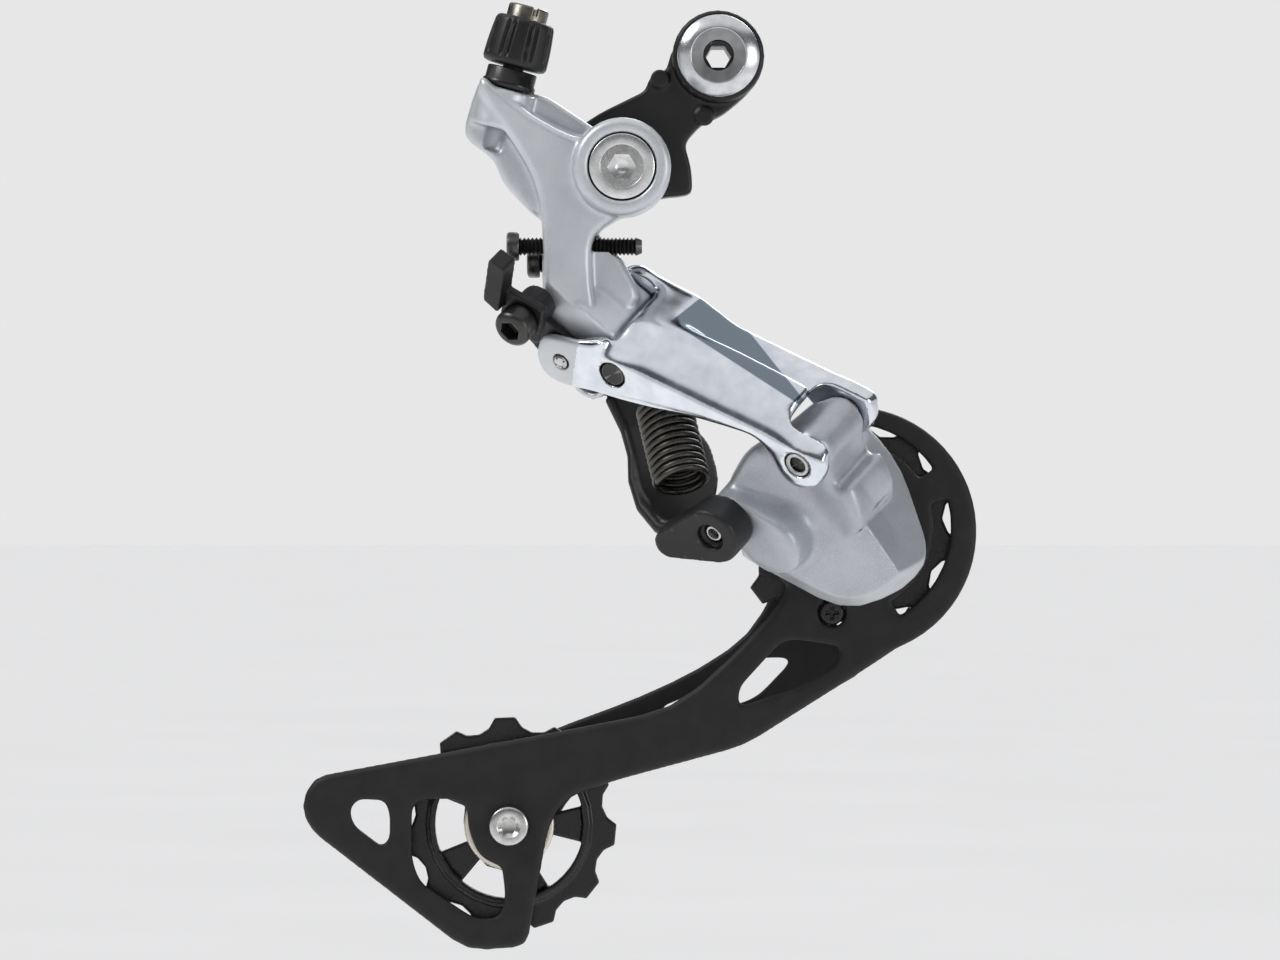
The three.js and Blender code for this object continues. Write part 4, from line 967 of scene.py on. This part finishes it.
CREASE_TOP = Vector((20.9, 0, -84.9)) * MM
CREASE_TIP = Vector((35.1, 0, -103.3)) * MM
CREASE_HEIGHT = 1.3
CREASE_WIDTH = 5.0
VALLEY_DEPTH = 0.8
CREASE_RISE = 2.2  # how fast the ridge rises at its top and falls at its tip
CREASE_FALL = 3
FRONT_FACING = -0.35  # a face whose normal's Y is below this looks outboard
BODY_EYE = 3.2  # radius kept crisp round each link pivot of the lower body
SOFT_REACH = 19.0  # how far from the link pivots the joints between lugs and body are softened
SOFT_FRONT = 9  # softening starts this far outboard of the cage pivot's joint point
SOFT_DEPTH = 6  # and is full this much further out


def crease(piece):
    """Raises a ridge down the outboard face, with a hollow on its front side."""
    run = CREASE_TIP - CREASE_TOP
    length = run.length
    run.normalize()
    across = Vector((-run.z, 0, run.x))
    facing = [vertex for vertex in piece.data.vertices if vertex.normal.y < FRONT_FACING]
    for vertex in facing:
        offset = vertex.co - CREASE_TOP
        offset.y = 0
        part = offset.dot(run) / length
        if not 0 < part < 1:
            continue
        ends = min(1.0, part * CREASE_RISE, (1 - part) * CREASE_FALL)
        side = offset.dot(across) / MM
        ridge = max(0.0, 1 - abs(side) / CREASE_WIDTH) * CREASE_HEIGHT
        hollow = max(0.0, 1 - abs(side - CREASE_WIDTH) / CREASE_WIDTH) * VALLEY_DEPTH
        vertex.co.y -= (ridge - hollow) * ends * MM


def lower_body():
    """Casting with soft joints between its lugs and its body, crisp along its lower bevel."""
    # The lower body takes the darker copy of the silver paint as painted shade.
    piece = cast("p_knuckle", SHADED_SILVER, 0.42, 5)

    def softness(point):
        near = clear_of(point, (PIN_B, D_PLACE), PIN_OUT, BODY_EYE, SCULPT_FADE)
        far = (SOFT_REACH - BODY_EYE - near * SCULPT_FADE) / SCULPT_FADE
        front = (P_CENTRE.y - SOFT_FRONT * MM - point.y) / (SOFT_DEPTH * MM)
        return min(near, far, front)

    sculpt(piece, 160, softness)
    crease(piece)
    piece.data.shade_smooth()


lower_body()
for plain, look in (("p_bush", RUBBER), ("p_seal_ring", RUBBER), ("p_axle", STEEL)):
    cast(plain, look, 0.2, 2)

# ------------------------------------------------------------------ cage

cast("cage_outer_plate", CAGE, 0.4, 12)
cast("cage_inner_plate", CAGE, 0.4, 3)
cast("cage_stop_screw", NYLON, 0.12, 2)
for wheel in ("guide", "tension"):
    cast(wheel + "_pulley", NYLON, 0.25, 3)
    cast(wheel + "_sleeve", RUBBER, 0.2, 2)


def dust_cap(node, look):
    origin = centre_of(node)
    origin.y = 0
    low, high, reach = spread(node, origin, INBOARD)
    out = high if "inner" in node else low
    back = low if "inner" in node else high
    step = 0.3 if "inner" in node else -0.3
    bore = 2.75
    piece = turned("look_" + node, origin, INBOARD, [
        (bore, back), (reach - 0.1, back), (reach, back + step / 2), (reach - 0.15, out - step / 2),
        (reach - 0.5, out), (reach - 1.2, out - step / 3), (bore + 2.6, out - step / 3),
        (bore + 2.2, out), (bore, out),
    ])
    stand_for(piece, node, look)


def pulley_bolt(node, outboard):
    """Button-headed bolt with a hexagon socket."""
    origin = centre_of(node)
    origin.y = 0
    axis = INBOARD if outboard else -INBOARD
    low, high, reach = spread(node, origin, axis)
    shank = 2.35
    head = 2.3
    piece = turned("look_" + node, origin, axis, [
        (0, low + 1.0), (1.55, low + 0.7), (2.3, low + 0.1), (2.45, low),
        (reach - 0.6, low + 0.02),
        (reach - 0.2, low + 0.22), (reach, low + 0.6), (reach, low + head), (shank, low + head),
        (shank, high - 0.4), (shank - 0.4, high), (0, high),
    ])
    drill(piece, prism(origin, axis, 3.0, low - 1, low + 2.6))
    edge_bevel(piece, 0.05)
    look = turned_metal(
        "bolt_steel_" + node, origin, INBOARD, (0.44, 0.44, 0.43), (0.58, 0.58, 0.57), (0.2, 0.34)
    )
    stand_for(piece, node, look)
    sharp_shade(piece, 40)


CAP_METAL = painted_casting(
    "cap_plating", (0.55, 0.50, 0.43), (0.68, 0.64, 0.56), (0.9, 0.88, 0.8), 0.85, (0.28, 0.5)
)
for wheel in ("guide", "tension"):
    for side in ("outer", "inner"):
        dust_cap(f"{wheel}_cap_{side}", CAP_METAL)
pulley_bolt("tension_pulley_bolt", True)
pulley_bolt("guide_pulley_bolt", False)

# ------------------------------------------------------------------ stage, lights and camera


def stage():
    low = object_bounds()[0]
    reach = 60.0
    gap = 0.2
    half = reach / 2
    z = low.z - gap
    floor = new_object("floor", mesh_from("floor", [
        (-half, -half, z), (half, -half, z), (half, half, z), (-half, half, z)], [(0, 1, 2, 3)]))
    made, nodes, links, shader = material("pale_floor")
    soft = noise(nodes, links, 0.004, 2.0)
    links.new(
        ramp(nodes, links, soft, [(0.3, (0.86, 0.86, 0.86)), (0.7, (0.89, 0.89, 0.89))]),
        shader.inputs["Base Color"],
    )
    shader.inputs["Emission Color"].default_value = (1, 1, 1, 1)
    shader.inputs["Emission Strength"].default_value = 0.2
    shader.inputs["Roughness"].default_value = 0.9
    shader.inputs["Specular IOR Level"].default_value = 0.1
    floor.data.materials.append(made)
    floor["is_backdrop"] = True


PALE = (0.80, 0.80, 0.805)


def world():
    """Pale studio: bright overhead and at the horizon, with a dark band between."""
    made = bpy.data.worlds.new("studio")
    bpy.context.scene.world = made
    made.use_nodes = True
    nodes = made.node_tree.nodes
    links = made.node_tree.links
    place = nodes.new("ShaderNodeTexCoord")
    split = nodes.new("ShaderNodeSeparateXYZ")
    links.new(place.outputs["Generated"], split.inputs["Vector"])
    bands = ramp(nodes, links, split.outputs["Z"], [
        (0.0, PALE), (0.09, PALE), (0.2, (0.10, 0.108, 0.12)), (0.55, (0.13, 0.138, 0.15)),
        (0.66, (0.95, 0.95, 0.96)),
    ])
    links.new(bands, nodes["Background"].inputs["Color"])
    nodes["Background"].inputs["Strength"].default_value = 1.0


def area_light(name, place, size, power):
    """Square soft light aimed at the middle of the object."""
    data = bpy.data.lights.new(name, "AREA")
    data.shape = "RECTANGLE"
    data.size = size
    data.size_y = size
    data.energy = power
    lamp = bpy.data.objects.new(name, data)
    bpy.context.scene.collection.objects.link(lamp)
    lamp.location = place
    lamp.rotation_euler = (VIEW_CENTRE - Vector(place)).to_track_quat("-Z", "Y").to_euler()


VIEW_CENTRE = Vector((-0.0158, 0, -0.0855))
VIEW_DISTANCE = 1.4
VIEW_WIDTH = 0.2598


def camera():
    data = bpy.data.cameras.new("camera")
    data.sensor_width = 36.0
    data.lens = data.sensor_width * VIEW_DISTANCE / VIEW_WIDTH
    data.clip_start = 0.05
    rig = bpy.data.objects.new("camera", data)
    bpy.context.scene.collection.objects.link(rig)
    rig.location = VIEW_CENTRE + Vector((0, -VIEW_DISTANCE, 0))
    rig.rotation_euler = (math.pi / 2, 0, 0)
    bpy.context.scene.camera = rig


stage()
world()
area_light("key", (-0.8, -0.35, 0.7), 0.45, 6.0)
area_light("fill", (0.8, -0.6, 0.05), 0.4, 2.0)
area_light("rim", (0.3, 0.8, 0.5), 0.5, 4.0)
camera()
bpy.context.scene.view_settings.view_transform = "Standard"
bpy.context.scene.view_settings.look = "None"
